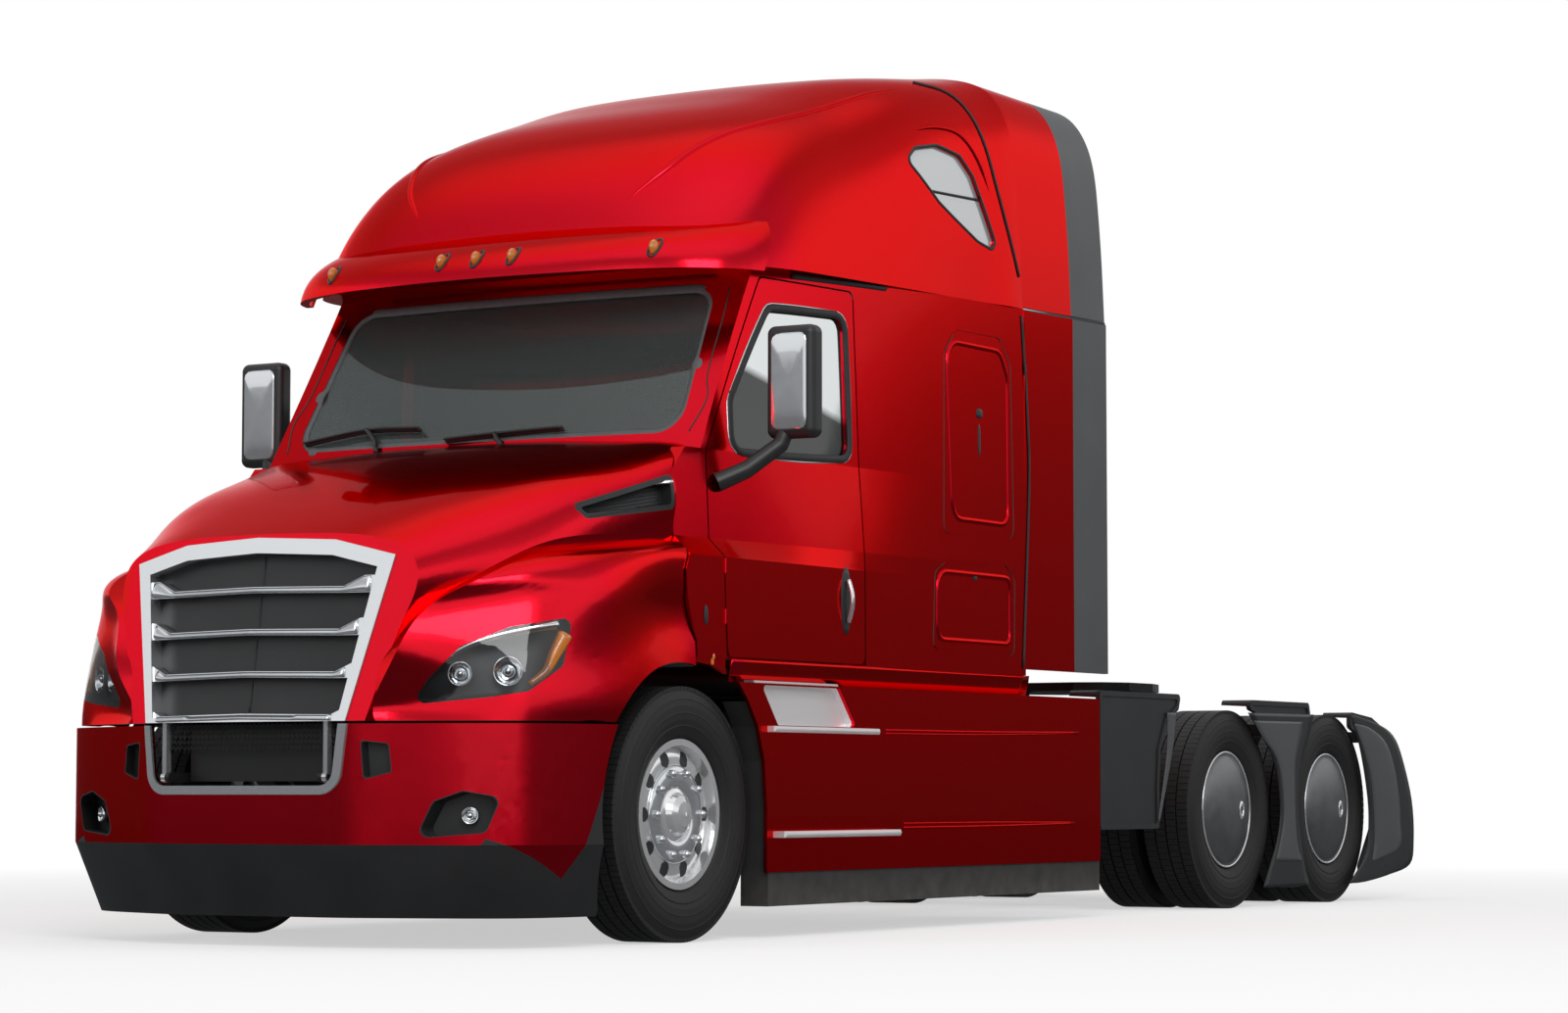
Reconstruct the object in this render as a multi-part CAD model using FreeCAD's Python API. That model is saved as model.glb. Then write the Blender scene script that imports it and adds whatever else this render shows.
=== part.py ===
"""Tractor unit of an articulated lorry: bonneted sleeper cab on a 6x4 chassis.

Places are given as distance behind the nose of the bumper, distance to the left of the middle
and height above the ground. The saved pieces are moved forward by half the length, so that their
origin lies on the ground under the middle of the vehicle, with +X ahead and +Y to the left.
"""
import FreeCAD, Part
import math
import os

V = FreeCAD.Vector

# Overall sizes
OVERALL_LENGTH = 8890.0
FRONT_AXLE = 1290.0
WHEELBASE_FIRST = 5211.0
TANDEM_SPACING = 1313.0
BODY_HALF_WIDTH = 1225.0
FAIRING_HALF_WIDTH = 1268.0
FIT = 0.3
PANEL_GAP = 8.0
RUNNING_CLEARANCE = 0.05
OVERRUN = 400.0
WHOLE_TURN = 360.0

FIRST_DRIVE_AXLE = FRONT_AXLE + WHEELBASE_FIRST
SECOND_DRIVE_AXLE = FIRST_DRIVE_AXLE + TANDEM_SPACING


def at(back, out, up):
    """Point from its distance behind the nose, to the left of the middle and above the ground."""
    return V(-back, out, up)


def box(back_low, back_high, out_low, out_high, up_low, up_high):
    """Block between two corners."""
    corner = at(max(back_low, back_high), min(out_low, out_high), min(up_low, up_high))
    return Part.makeBox(abs(back_high - back_low), abs(out_high - out_low), abs(up_high - up_low), corner)


def mirrored(shape):
    """The same piece on the other side of the vehicle."""
    return shape.mirror(V(0, 0, 0), V(0, 1, 0))


def both_sides(*shapes):
    return list(shapes) + [mirrored(shape) for shape in shapes]


def joined(first, *others):
    shape = first
    for other in others:
        shape = shape.fuse(other)
    return shape.removeSplitter()


def largest(shape):
    """The biggest solid that a cut leaves."""
    return max(shape.Solids, key=lambda solid: solid.Volume)


def line(start, end):
    return Part.LineSegment(start, end).toShape()


def spline(points):
    curve = Part.BSplineCurve()
    curve.interpolate(points)
    return curve.toShape()


def mirror_points(points):
    """Left half of a symmetric row of points, from the middle outwards, made whole from right to left."""
    return [V(p.x, -p.y, p.z) for p in reversed(points[1:])] + list(points)


# A corner is rounded over at most this share of the straight run on each side of it
CORNER_REACH_SHARE = 0.45


def rounded(points, radius):
    """Closed wire through points with every corner rounded by one radius."""
    ends = []
    count = len(points)
    for i in range(count):
        before, here, after = points[i - 1], points[i], points[(i + 1) % count]
        behind = (before - here).normalize()
        ahead = (after - here).normalize()
        half = behind.getAngle(ahead) / 2
        room = CORNER_REACH_SHARE * min((before - here).Length, (after - here).Length)
        reach = min(radius / math.tan(half), room)
        centre = here + (behind + ahead).normalize() * (reach / math.cos(half))
        middle = centre + (here - centre).normalize() * (reach * math.tan(half))
        ends.append((here + behind * reach, middle, here + ahead * reach))
    edges = []
    for i in range(count):
        start, middle, end = ends[i]
        edges.append(Part.Arc(start, middle, end).toShape())
        edges.append(line(end, ends[(i + 1) % count][0]))
    return Part.Wire(edges)


def plate(corners, thickness, radius=0.0):
    """Flat plate with a closed outline, pushed out along a vector."""
    wire = rounded(corners, radius) if radius else Part.makePolygon(corners + corners[:1])
    return Part.Face(wire).extrude(thickness)


def side_plate(points, out_low, out_high, radius=0.0):
    """Plate whose outline, (back, up) pairs, is seen from the side."""
    return plate([at(back, out_low, up) for back, up in points], V(0, out_high - out_low, 0), radius)


def front_plate(points, back_low, back_high, radius=0.0):
    """Plate whose outline, (out, up) pairs, is seen from the front."""
    return plate([at(back_high, out, up) for out, up in points], V(back_high - back_low, 0, 0), radius)


# Pieces on the front corners are drawn square to a line halfway between ahead and left
DIAGONAL_SHARE = math.sqrt(1 / 2)


def corner_plate(points, near, far, radius=0.0):
    """Plate whose outline, (along, up) pairs, is seen from a front corner."""
    corners = []
    for along, up in points:
        corners.append(at((along - near) * DIAGONAL_SHARE, (along + near) * DIAGONAL_SHARE, up))
    reach = (far - near) * DIAGONAL_SHARE
    return plate(corners, V(reach, reach, 0), radius)


def grown(points, distance):
    """Outline moved outwards by one distance all round, its corners kept sharp."""
    turn = sum(a[0] * b[1] - b[0] * a[1] for a, b in zip(points, points[1:] + points[:1]))
    side = math.copysign(1, turn)
    result = []
    for i, here in enumerate(points):
        before, after = points[i - 1], points[(i + 1) % len(points)]
        normals = []
        for a, b in ((before, here), (here, after)):
            length = math.hypot(b[0] - a[0], b[1] - a[1])
            normals.append((side * (b[1] - a[1]) / length, side * (a[0] - b[0]) / length))
        (p, q), (r, s) = normals
        reach = distance / (1 + p * r + q * s)
        result.append((here[0] + (p + r) * reach, here[1] + (q + s) * reach))
    return result


def spread(shares, first_low, first_high, second_low, second_high):
    """Outline from shares of the two spans that it fills."""
    first, second = first_high - first_low, second_high - second_low
    return [(first_low + a * first, second_low + b * second) for a, b in shares]


def across(back, out_low, out_high, up, radius):
    """Round bar from side to side."""
    return Part.makeCylinder(radius, abs(out_high - out_low), at(back, min(out_low, out_high), up),
                             V(0, 1, 0))


def upright(back, out, up_low, up_high, radius):
    """Round bar standing up."""
    return Part.makeCylinder(radius, up_high - up_low, at(back, out, up_low))


def rod(start, end, radius, end_radius=0.0):
    """Round bar between two points, tapered where the end has its own radius."""
    way = end - start
    if end_radius:
        return Part.makeCone(radius, end_radius, way.Length, start, way)
    return Part.makeCylinder(radius, way.Length, start, way)


def turned(profile, back, up):
    """Solid turned about the wheel axis; the profile is (radius, out) pairs."""
    points = [at(back, out, up + radius) for radius, out in profile]
    face = Part.Face(Part.makePolygon(points + points[:1]))
    return face.revolve(at(back, 0, up), V(0, 1, 0), WHOLE_TURN)


def loft(sections, ruled=False):
    """Solid through closed wires."""
    return Part.makeLoft(sections, True, ruled)


def save(name, solids):
    """Writes one node, moved so that the origin is under the middle of the vehicle."""
    flat = [solid for shape in solids for solid in shape.Solids]
    whole = Part.makeCompound(flat) if len(flat) > 1 else flat[0].copy()
    whole.translate(V(OVERALL_LENGTH / 2, 0, 0))
    whole.exportStep("parts/" + name + ".step")


# Cab below the roof. Stations are shares of the distance from nose to sleeper rear; the tables give
# half widths there, as shares of the body's, at the sill, over the side crease, at the belt and at the top.
CAB_FLOOR = 1130.0
COWL_HEIGHT = 2030.0
CREASE_LOW = 1540.0
CREASE_HIGH = 1620.0
BELT_LINE = 1985.0
CAB_TOP = 2900.0
SLEEPER_REAR = 4200.0
CAB_WALL = 50.0
FLOOR_THICKNESS = 60.0
DECK_HEIGHT = 1860.0
CAB_STATION_SHARES = (0.28, 0.357, 0.4286, 0.5357, 0.643, 0.726, 0.857, 1.0)
SILL_SHARES = (0.984, 0.990, 0.992, 0.994, 0.996, 0.998, 1.0, 1.0)
CREASE_SHARES = (0.895, 0.916, 0.938, 0.972, 0.993, 0.998, 1.0, 1.0)
BELT_SHARES = (0.878, 0.902, 0.924, 0.950, 0.972, 0.988, 0.997, 1.0)
HEAD_SHARES = (0.758, 0.800, 0.835, 0.892, 0.945, 0.970, 0.988, 0.996)

WINDSHIELD_FOOT = 1508.0
WINDSHIELD_LEAN_SHARE = 0.60
WINDSHIELD_SAG = 85.0
WINDSHIELD_SAG_SHARE = 0.25

# Seam between bonnet and cab, seen from the side
SEAM = [(1360.0, 1050.0), (1360.0, 1190.0), (1331.0, 1248.0), (1292.0, 1363.0), (1280.0, 1480.0),
        (1340.0, 1620.0), (1340.0, 1880.0), (1440.0, 1985.0)]
CHEEK_REAR = 1660.0
CHEEK_INSIDE = 1035.0
FIREWALL = 1400.0

# The joint between cab and roof rises towards the rear
JOINT_HEIGHT = 2723.0
JOINT_RISE_SHARE = 0.0263
ROOF_TOP = 3980.0


def joint_level(back):
    return JOINT_HEIGHT + JOINT_RISE_SHARE * back


def beside_joint(gap, end):
    """Everything between the roof joint, moved up by a gap, and a level."""
    front, rear = -OVERRUN, OVERALL_LENGTH
    outline = [(front, joint_level(front) + gap), (rear, joint_level(rear) + gap), (rear, end), (front, end)]
    return side_plate(outline, -BODY_HALF_WIDTH - OVERRUN, BODY_HALF_WIDTH + OVERRUN)


def flank_level(up, shares, inset):
    """Level outline of the cab's two sides, running well ahead of the windscreen."""
    rear = SLEEPER_REAR - inset
    left = [at(min(place * SLEEPER_REAR, rear), share * BODY_HALF_WIDTH - inset, up)
            for place, share in zip(CAB_STATION_SHARES, shares)]
    right = [V(p.x, -p.y, p.z) for p in reversed(left)]
    return Part.Wire([line(right[-1], left[0]), spline(left), line(left[-1], right[0]), spline(right)])


def cab_flanks(inset, foot):
    """Volume between the cab's two sides, from its foot up past the roof joint."""
    levels = ((foot, SILL_SHARES), (CREASE_LOW, SILL_SHARES), (CREASE_HIGH, CREASE_SHARES),
              (BELT_LINE, BELT_SHARES), (CAB_TOP, HEAD_SHARES))
    return loft([flank_level(up, shares, inset) for up, shares in levels], True)


def windscreen_body(inset, foot):
    """Everything behind the bowed, leaning surface of the windscreen."""
    sections = []
    for up in (foot, CAB_TOP):
        front = WINDSHIELD_FOOT + WINDSHIELD_LEAN_SHARE * (up - COWL_HEIGHT) + inset
        side = front + WINDSHIELD_SAG
        half = [at(front, 0, up), at(front + WINDSHIELD_SAG * WINDSHIELD_SAG_SHARE, BODY_HALF_WIDTH / 2, up),
                at(side, BODY_HALF_WIDTH, up)]
        rear = [at(SLEEPER_REAR - inset, BODY_HALF_WIDTH, up), at(SLEEPER_REAR - inset, -BODY_HALF_WIDTH, up)]
        whole = mirror_points(half)
        sections.append(Part.Wire([spline(whole), line(whole[-1], rear[0]), line(rear[0], rear[1]),
                                   line(rear[1], whole[0])]))
    return loft(sections, True)


def seam_volume(gap):
    """Everything behind the seam between bonnet and cab, moved back by a gap, up to its top corner."""
    outline = [(back + gap, up) for back, up in SEAM]
    foot, head = SEAM[0][1], SEAM[-1][1]
    outline += [(CHEEK_REAR, head), (SLEEPER_REAR, head), (SLEEPER_REAR, foot)]
    return side_plate(outline, -BODY_HALF_WIDTH, BODY_HALF_WIDTH)


def cab_outer():
    """Cab below the roof as one solid: sides, cowl panels beside the bonnet, and windscreen."""
    lower = seam_volume(PANEL_GAP)
    under_hood = box(0, FIREWALL, -CHEEK_INSIDE, CHEEK_INSIDE, 0, COWL_HEIGHT + OVERRUN)
    deck = box(0, CHEEK_REAR + OVERRUN, -CHEEK_INSIDE, CHEEK_INSIDE, DECK_HEIGHT, COWL_HEIGHT + OVERRUN)
    front = lower.cut(under_hood).cut(deck).fuse(windscreen_body(0, DECK_HEIGHT))
    return cab_flanks(0, CAB_FLOOR).common(front).common(beside_joint(0, 0))


def cab_inner(inset):
    """Room inside the cab, open at the top."""
    floor = CAB_FLOOR + FLOOR_THICKNESS + inset - CAB_WALL
    lower = box(FIREWALL + inset, SLEEPER_REAR - inset, -BODY_HALF_WIDTH, BODY_HALF_WIDTH, floor,
                DECK_HEIGHT - inset)
    return cab_flanks(inset, floor).common(lower.fuse(windscreen_body(inset, DECK_HEIGHT - inset)))


# Door and side window, seen from the side
DOOR_OUTLINE = [(1600.0, 1138.0), (1582.0, 1335.0), (1574.0, 1512.0), (1588.0, 1640.0), (1588.0, 1975.0),
                (2068.0, 2742.0), (2696.0, 2742.0), (2704.0, 1138.0)]
DOOR_CORNER = 34.0
WINDOW_OUTLINE = [(1772.0, 1992.0), (1796.0, 2205.0), (2108.0, 2608.0), (2626.0, 2628.0), (2626.0, 2022.0)]
WINDOW_CORNER = 64.0
GLASS_THICKNESS = 6.0
GLASS_INSET = 14.0
HINGE_BACK = 1574.0
HINGE_OUT = 1216.0
HINGE_HEIGHTS = (1300.0, 1505.0)
HINGE_PIN_RADIUS = 5.0
HINGE_KNUCKLE_RADIUS = 9.0
HINGE_HALF_LENGTH = 30.0
HINGE_GAP = 1.0
HINGE_LEAF = 10.0

# Windscreen opening, seen from the front
SCREEN_OUTLINE = [(-990.0, 2058.0), (-934.0, 2700.0), (934.0, 2700.0), (990.0, 2058.0)]
SCREEN_CORNER = 105.0

# Lockers in the sleeper's side and the depth and width of the groove round them
TALL_LOCKER = [(3415.0, 1745.0), (3444.0, 2560.0), (3540.0, 2660.0), (3960.0, 2665.0), (4062.0, 2560.0),
               (4079.0, 1765.0)]
LUGGAGE_DOOR = [(3311.0, 1225.0), (3330.0, 1570.0), (3420.0, 1615.0), (4010.0, 1620.0), (4087.0, 1570.0),
                (4080.0, 1225.0)]
LOCKER_CORNER = 45.0
GROOVE_DEPTH = 5.0
GROOVE_WIDTH = 9.0

# Engine block and the tunnel over it
ENGINE_FRONT = 480.0
ENGINE_REAR = 1760.0
ENGINE_TOP = 1520.0
ENGINE_BOTTOM = 640.0
ENGINE_HALF_WIDTH = 320.0
TUNNEL_CLEARANCE = 30.0

# Lip of the cowl panel that closes the rear of the wheel arch
ARCH_LIP = [(1368.0, 1150.0), (1368.0, 1112.0), (1500.0, 1100.0), (1600.0, 1068.0), (1590.0, 1150.0)]
LIP_THICKNESS = 18.0


def hinge_cylinder(low, high, radius):
    return upright(HINGE_BACK, HINGE_OUT, low, high, radius)


def add_hinges(shell, door):
    """Hinge knuckles and pins along the front edge of the left door."""
    third = HINGE_HALF_LENGTH * 2 / 3
    for height in HINGE_HEIGHTS:
        low, high = height - HINGE_HALF_LENGTH, height + HINGE_HALF_LENGTH
        room = hinge_cylinder(low - HINGE_GAP, high + HINGE_GAP, HINGE_KNUCKLE_RADIUS + HINGE_GAP * 2)
        door, shell = door.cut(room), shell.cut(room)
        inside = HINGE_OUT - HINGE_KNUCKLE_RADIUS - HINGE_LEAF / 2
        for start, end in ((low, low + third), (high - third, high)):
            leaf = box(HINGE_BACK, HINGE_BACK - HINGE_LEAF * 3, inside, HINGE_OUT - HINGE_PIN_RADIUS,
                       start, end)
            shell = shell.fuse(hinge_cylinder(start, end, HINGE_KNUCKLE_RADIUS)).fuse(leaf)
        shell = shell.fuse(hinge_cylinder(low, high, HINGE_PIN_RADIUS))
        start, end = low + third + HINGE_GAP, high - third - HINGE_GAP
        leaf = box(HINGE_BACK, HINGE_BACK + HINGE_LEAF * 3, inside, HINGE_OUT - HINGE_PIN_RADIUS, start, end)
        shell = shell.cut(box(HINGE_BACK, HINGE_BACK + HINGE_LEAF * 4, inside - HINGE_LEAF / 2, HINGE_OUT,
                              start - HINGE_GAP, end + HINGE_GAP).cut(hinge_cylinder(low, high,
                                                                      HINGE_PIN_RADIUS)))
        knuckle = hinge_cylinder(start, end, HINGE_KNUCKLE_RADIUS).fuse(leaf)
        bore = hinge_cylinder(start - HINGE_GAP, end + HINGE_GAP, HINGE_PIN_RADIUS + RUNNING_CLEARANCE)
        door = door.fuse(knuckle).cut(bore)
    return shell, door


def make_cab():
    """Hollow cab below the roof joint, the left door, its glass and the windscreen."""
    outer = cab_outer()
    inner = cab_inner(CAB_WALL)
    shell = outer.cut(inner)

    tunnel_half = ENGINE_HALF_WIDTH + TUNNEL_CLEARANCE * 2
    tunnel_end = ENGINE_REAR + TUNNEL_CLEARANCE
    tunnel_top = ENGINE_TOP + TUNNEL_CLEARANCE
    tunnel = box(FIREWALL + CAB_WALL / 2, tunnel_end + CAB_WALL, -tunnel_half - CAB_WALL,
                 tunnel_half + CAB_WALL,
                 CAB_FLOOR + FLOOR_THICKNESS / 2, tunnel_top + CAB_WALL)
    hollow = box(0, tunnel_end, -tunnel_half, tunnel_half, CAB_FLOOR - OVERRUN, tunnel_top)
    shell = shell.fuse(tunnel).cut(hollow)

    behind_glass = GLASS_INSET + GLASS_THICKNESS
    side_glazing = cab_flanks(GLASS_INSET, CAB_FLOOR).cut(cab_flanks(behind_glass, CAB_FLOOR))
    front_glazing = windscreen_body(GLASS_INSET, DECK_HEIGHT).cut(windscreen_body(behind_glass, DECK_HEIGHT))
    screen_reach = WINDSHIELD_FOOT + WINDSHIELD_LEAN_SHARE * (CAB_TOP - COWL_HEIGHT) + WINDSHIELD_SAG
    screen_cut = front_plate(SCREEN_OUTLINE, FIREWALL, screen_reach, SCREEN_CORNER)
    windshield = front_glazing.common(screen_cut)
    shell = shell.cut(screen_cut)

    grooves = cab_flanks(0, CAB_FLOOR).cut(cab_flanks(GROOVE_DEPTH, CAB_FLOOR))
    reach = BODY_HALF_WIDTH + OVERRUN
    rings = []
    for outline in (TALL_LOCKER, LUGGAGE_DOOR):
        ring = side_plate(grown(outline, GROOVE_WIDTH), BODY_HALF_WIDTH / 2, reach,
                          LOCKER_CORNER + GROOVE_WIDTH)
        rings.append(ring.cut(side_plate(outline, BODY_HALF_WIDTH / 2, reach, LOCKER_CORNER)))
    grooves = grooves.common(rings[0].fuse(rings[1]))
    shell = shell.cut(grooves).cut(mirrored(grooves))

    hole_outline = grown(DOOR_OUTLINE, PANEL_GAP)
    hole_outline[0] = (hole_outline[0][0], CAB_FLOOR - DOOR_CORNER * 2)
    hole_outline[-1] = (hole_outline[-1][0], CAB_FLOOR - DOOR_CORNER * 2)
    hole = side_plate(hole_outline, BODY_HALF_WIDTH / 2, reach, DOOR_CORNER)
    hole = hole.cut(cab_flanks(CAB_WALL + PANEL_GAP, CAB_FLOOR - OVERRUN))
    leaf = side_plate(DOOR_OUTLINE, BODY_HALF_WIDTH / 2, reach, DOOR_CORNER)
    opening = side_plate(WINDOW_OUTLINE, BODY_HALF_WIDTH / 2, reach, WINDOW_CORNER)
    skin = cab_flanks(0, CAB_FLOOR).cut(cab_flanks(CAB_WALL, CAB_FLOOR - OVERRUN))
    door = skin.common(leaf).cut(opening)
    pane = side_glazing.common(opening)
    sill = BODY_HALF_WIDTH * SILL_SHARES[0]
    lip = side_plate(ARCH_LIP, sill - LIP_THICKNESS, sill)
    shell = shell.cut(hole)
    shell = shell.fuse(lip.cut(hole))
    shell, door = add_hinges(shell, door)
    half = box(0, OVERALL_LENGTH, 0, reach, 0, ROOF_TOP)
    shell = shell.common(half)
    shell = largest(shell.fuse(mirrored(shell)))
    return outer, shell, largest(door), largest(pane), largest(windshield)


# Roof cap. Each station: share of the way from roof front to rear, half width at the foot as a share of the
# body's, crown height as a share of the rise above the joint, and how far the section is square, 0 to 1
ROOF_FRONT = 1760.0
ROOF_WALL = 40.0
ROOF_FLANGE = 30.0
ROOF_STATION_SHARES = (
    (0.0, 0.800, 0.150, 0.0),
    (0.058, 0.900, 0.345, 0.05),
    (0.150, 0.965, 0.535, 0.12),
    (0.242, 0.980, 0.635, 0.25),
    (0.432, 0.988, 0.765, 0.45),
    (0.616, 0.994, 0.875, 0.70),
    (0.864, 0.998, 0.960, 0.92),
    (1.0, 1.0, 1.0, 1.0),
)
ROOF_ROUND_SHARES = ((0.0, 1.0), (0.34, 0.985), (0.60, 0.925), (0.77, 0.80), (0.88, 0.60), (0.94, 0.38),
                     (0.98, 0.17),
                     (1.0, 0.0))
ROOF_SQUARE_SHARES = ((0.0, 1.0), (0.42, 0.995), (0.68, 0.975), (0.84, 0.915), (0.925, 0.79), (0.965, 0.58),
                      (0.985, 0.29), (1.0, 0.0))
ROOF_WINDOW = [(3224.0, 3400.0), (3320.0, 3468.0), (3508.0, 3503.0), (3690.0, 3480.0), (3790.0, 3399.0),
               (3884.0, 3231.0), (3950.0, 3112.0), (3911.0, 3080.0), (3786.0, 3105.0), (3459.0, 3242.0)]
ROOF_WINDOW_CORNER = 40.0


def roof_arch(station, inset, foot):
    """Half of the roof's section at one station, from the crown down to the foot."""
    place, width, rise, square = station
    back = ROOF_FRONT + place * (SLEEPER_REAR - ROOF_FRONT)
    back = min(max(back, ROOF_FRONT + inset), SLEEPER_REAR - inset)
    half = width * BODY_HALF_WIDTH - inset
    top = foot + rise * (ROOF_TOP - foot) - inset
    points = []
    for (a, b), (c, d) in zip(ROOF_ROUND_SHARES, ROOF_SQUARE_SHARES):
        out, up = a + (c - a) * square, b + (d - b) * square
        points.append(at(back, out * half, foot + up * (top - foot)))
    return points


def arch_wire(half_points):
    """Closed section: one curve over the top and a straight foot."""
    points = mirror_points(half_points)
    return Part.Wire([spline(points), line(points[-1], points[0])])


def roof_body(inset):
    """Body under the roof skin, drawn in by an inset, from below the joint upwards."""
    foot = JOINT_HEIGHT
    body = loft([arch_wire(roof_arch(station, inset, foot)) for station in ROOF_STATION_SHARES])
    return body.common(beside_joint(0, ROOF_TOP + OVERRUN))


def make_roof():
    """High roof cap: a hollow shell with a flange round its foot and a window in each side."""
    outer = roof_body(0)
    hollow = roof_body(ROOF_WALL).common(beside_joint(ROOF_FLANGE, ROOF_TOP + OVERRUN))
    shell = outer.cut(hollow).cut(cab_inner(CAB_WALL))
    opening = side_plate(ROOF_WINDOW, BODY_HALF_WIDTH / 2, BODY_HALF_WIDTH + OVERRUN, ROOF_WINDOW_CORNER)
    glazing = roof_body(GLASS_INSET).cut(roof_body(GLASS_INSET + GLASS_THICKNESS))
    pane = glazing.common(opening)
    shell = shell.cut(opening).cut(mirrored(opening))
    return outer, largest(shell), largest(pane)


# Side extenders behind the sleeper and the dark flaps that carry them on
EXTENDER_END = 4702.0
FLAP_END = 5064.0
EXTENDER_FOOT = 1160.0
EXTENDER_THICKNESS = 26.0
EXTENDER_TOP_REACH = 800.0


def make_extenders():
    """Painted extenders and dark flaps, both in an upper and a lower length split at the roof joint."""
    arches = []
    for inset in (0, EXTENDER_THICKNESS):
        half = [at(SLEEPER_REAR, p.y, p.z) for p in roof_arch(ROOF_STATION_SHARES[-1], inset, JOINT_HEIGHT)]
        arches.append(Part.Face(arch_wire(half)))
    pieces = []
    for front, rear in ((SLEEPER_REAR, EXTENDER_END), (EXTENDER_END, FLAP_END)):
        length = V(front - rear, 0, 0)
        skin = arches[0].extrude(length).cut(arches[1].extrude(length))
        skin.translate(V(SLEEPER_REAR - front, 0, 0))
        sides = box(front, rear, EXTENDER_TOP_REACH, BODY_HALF_WIDTH, 0, ROOF_TOP)
        upper = skin.common(sides).common(beside_joint(PANEL_GAP, ROOF_TOP + OVERRUN))
        lower = box(front, rear, BODY_HALF_WIDTH - EXTENDER_THICKNESS, BODY_HALF_WIDTH, EXTENDER_FOOT,
                    CAB_TOP)
        lower = lower.common(beside_joint(-PANEL_GAP, 0))
        pieces.append([largest(upper), lower])
    return pieces


# Sun visor. Each level: height over the joint, then (back, out) pairs along its front edge
VISOR_LEVELS = (
    (2745.0, ((1490.0, 0.0), (1515.0, 400.0), (1600.0, 828.0), (1742.0, 1085.0), (1920.0, 1190.0))),
    (2835.0, ((1543.0, 0.0), (1562.0, 400.0), (1640.0, 828.0), (1785.0, 1080.0), (1968.0, 1184.0))),
    (2915.0, ((1655.0, 0.0), (1672.0, 400.0), (1748.0, 828.0), (1872.0, 1062.0), (2020.0, 1158.0))),
    (2974.0, ((1795.0, 0.0), (1814.0, 400.0), (1876.0, 820.0), (1962.0, 1020.0), (2063.0, 1117.0))),
)
VISOR_THICKNESS = 24.0
MARKER_PLACES = ((1543.0, 0.0), (1548.0, 182.0), (1640.0, 828.0))
MARKER_HEIGHT = 2835.0
MARKER_RADIUS = 34.0
MARKER_SLIM_SHARE = 0.5


def visor_body(inset):
    sections = []
    for number, (up, front) in enumerate(VISOR_LEVELS):
        level = up - inset * 2 if number == 0 else up - inset
        points = mirror_points([at(back + inset, max(out - inset, 0), level) for back, out in front])
        sections.append(Part.Wire([spline(points), line(points[-1], points[0])]))
    return loft(sections)


def make_visor(roof, cab):
    """Sun visor: a bowed shell across the top of the windscreen, and the marker lamps in its face."""
    outer = visor_body(0)
    visor = outer.cut(visor_body(VISOR_THICKNESS)).cut(roof).cut(cab)
    squash = FreeCAD.Matrix()
    squash.scale(1, MARKER_SLIM_SHARE, 1)
    lamps = []
    for back, out in MARKER_PLACES:
        lens = Part.makeSphere(MARKER_RADIUS).transformGeometry(squash)
        lens.translate(at(back, out, MARKER_HEIGHT))
        lens = lens.cut(outer)
        lamps += [largest(lens)] if out == 0 else both_sides(largest(lens))
    return largest(visor), lamps


# Bonnet. Middle stations: share of the length to the rear edge, crown height, shoulder half width and height,
# flank half width and height, and half width at the foot. Heights are shares of the rise from the foot to the
# crest and widths are shares of the body's half width.
HOOD_REAR = 1340.0
HOOD_BOTTOM = 862.0
HOOD_CREST = 2024.0
HOOD_WALL = 12.0
HOOD_STATION_SHARES = (
    (-0.037, 0.553, 0.490, 0.467, 0.522, 0.291, 0.450),
    (0.075, 0.620, 0.522, 0.540, 0.563, 0.377, 0.470),
    (0.224, 0.697, 0.588, 0.609, 0.645, 0.446, 0.540),
    (0.448, 0.799, 0.694, 0.721, 0.776, 0.583, 0.680),
    (0.672, 0.889, 0.784, 0.807, 0.850, 0.635, 0.760),
    (0.896, 0.966, 0.846, 0.876, 0.898, 0.670, 0.820),
    (1.030, 1.000, 0.864, 0.932, 0.914, 0.721, 0.840),
    (1.170, 1.026, 0.878, 0.962, 0.922, 0.738, 0.840),
)
HOOD_ARCH_SHARES = ((0.0, 0.0), (0.42, 0.08), (0.78, 0.38), (1.0, 1.0))

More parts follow.
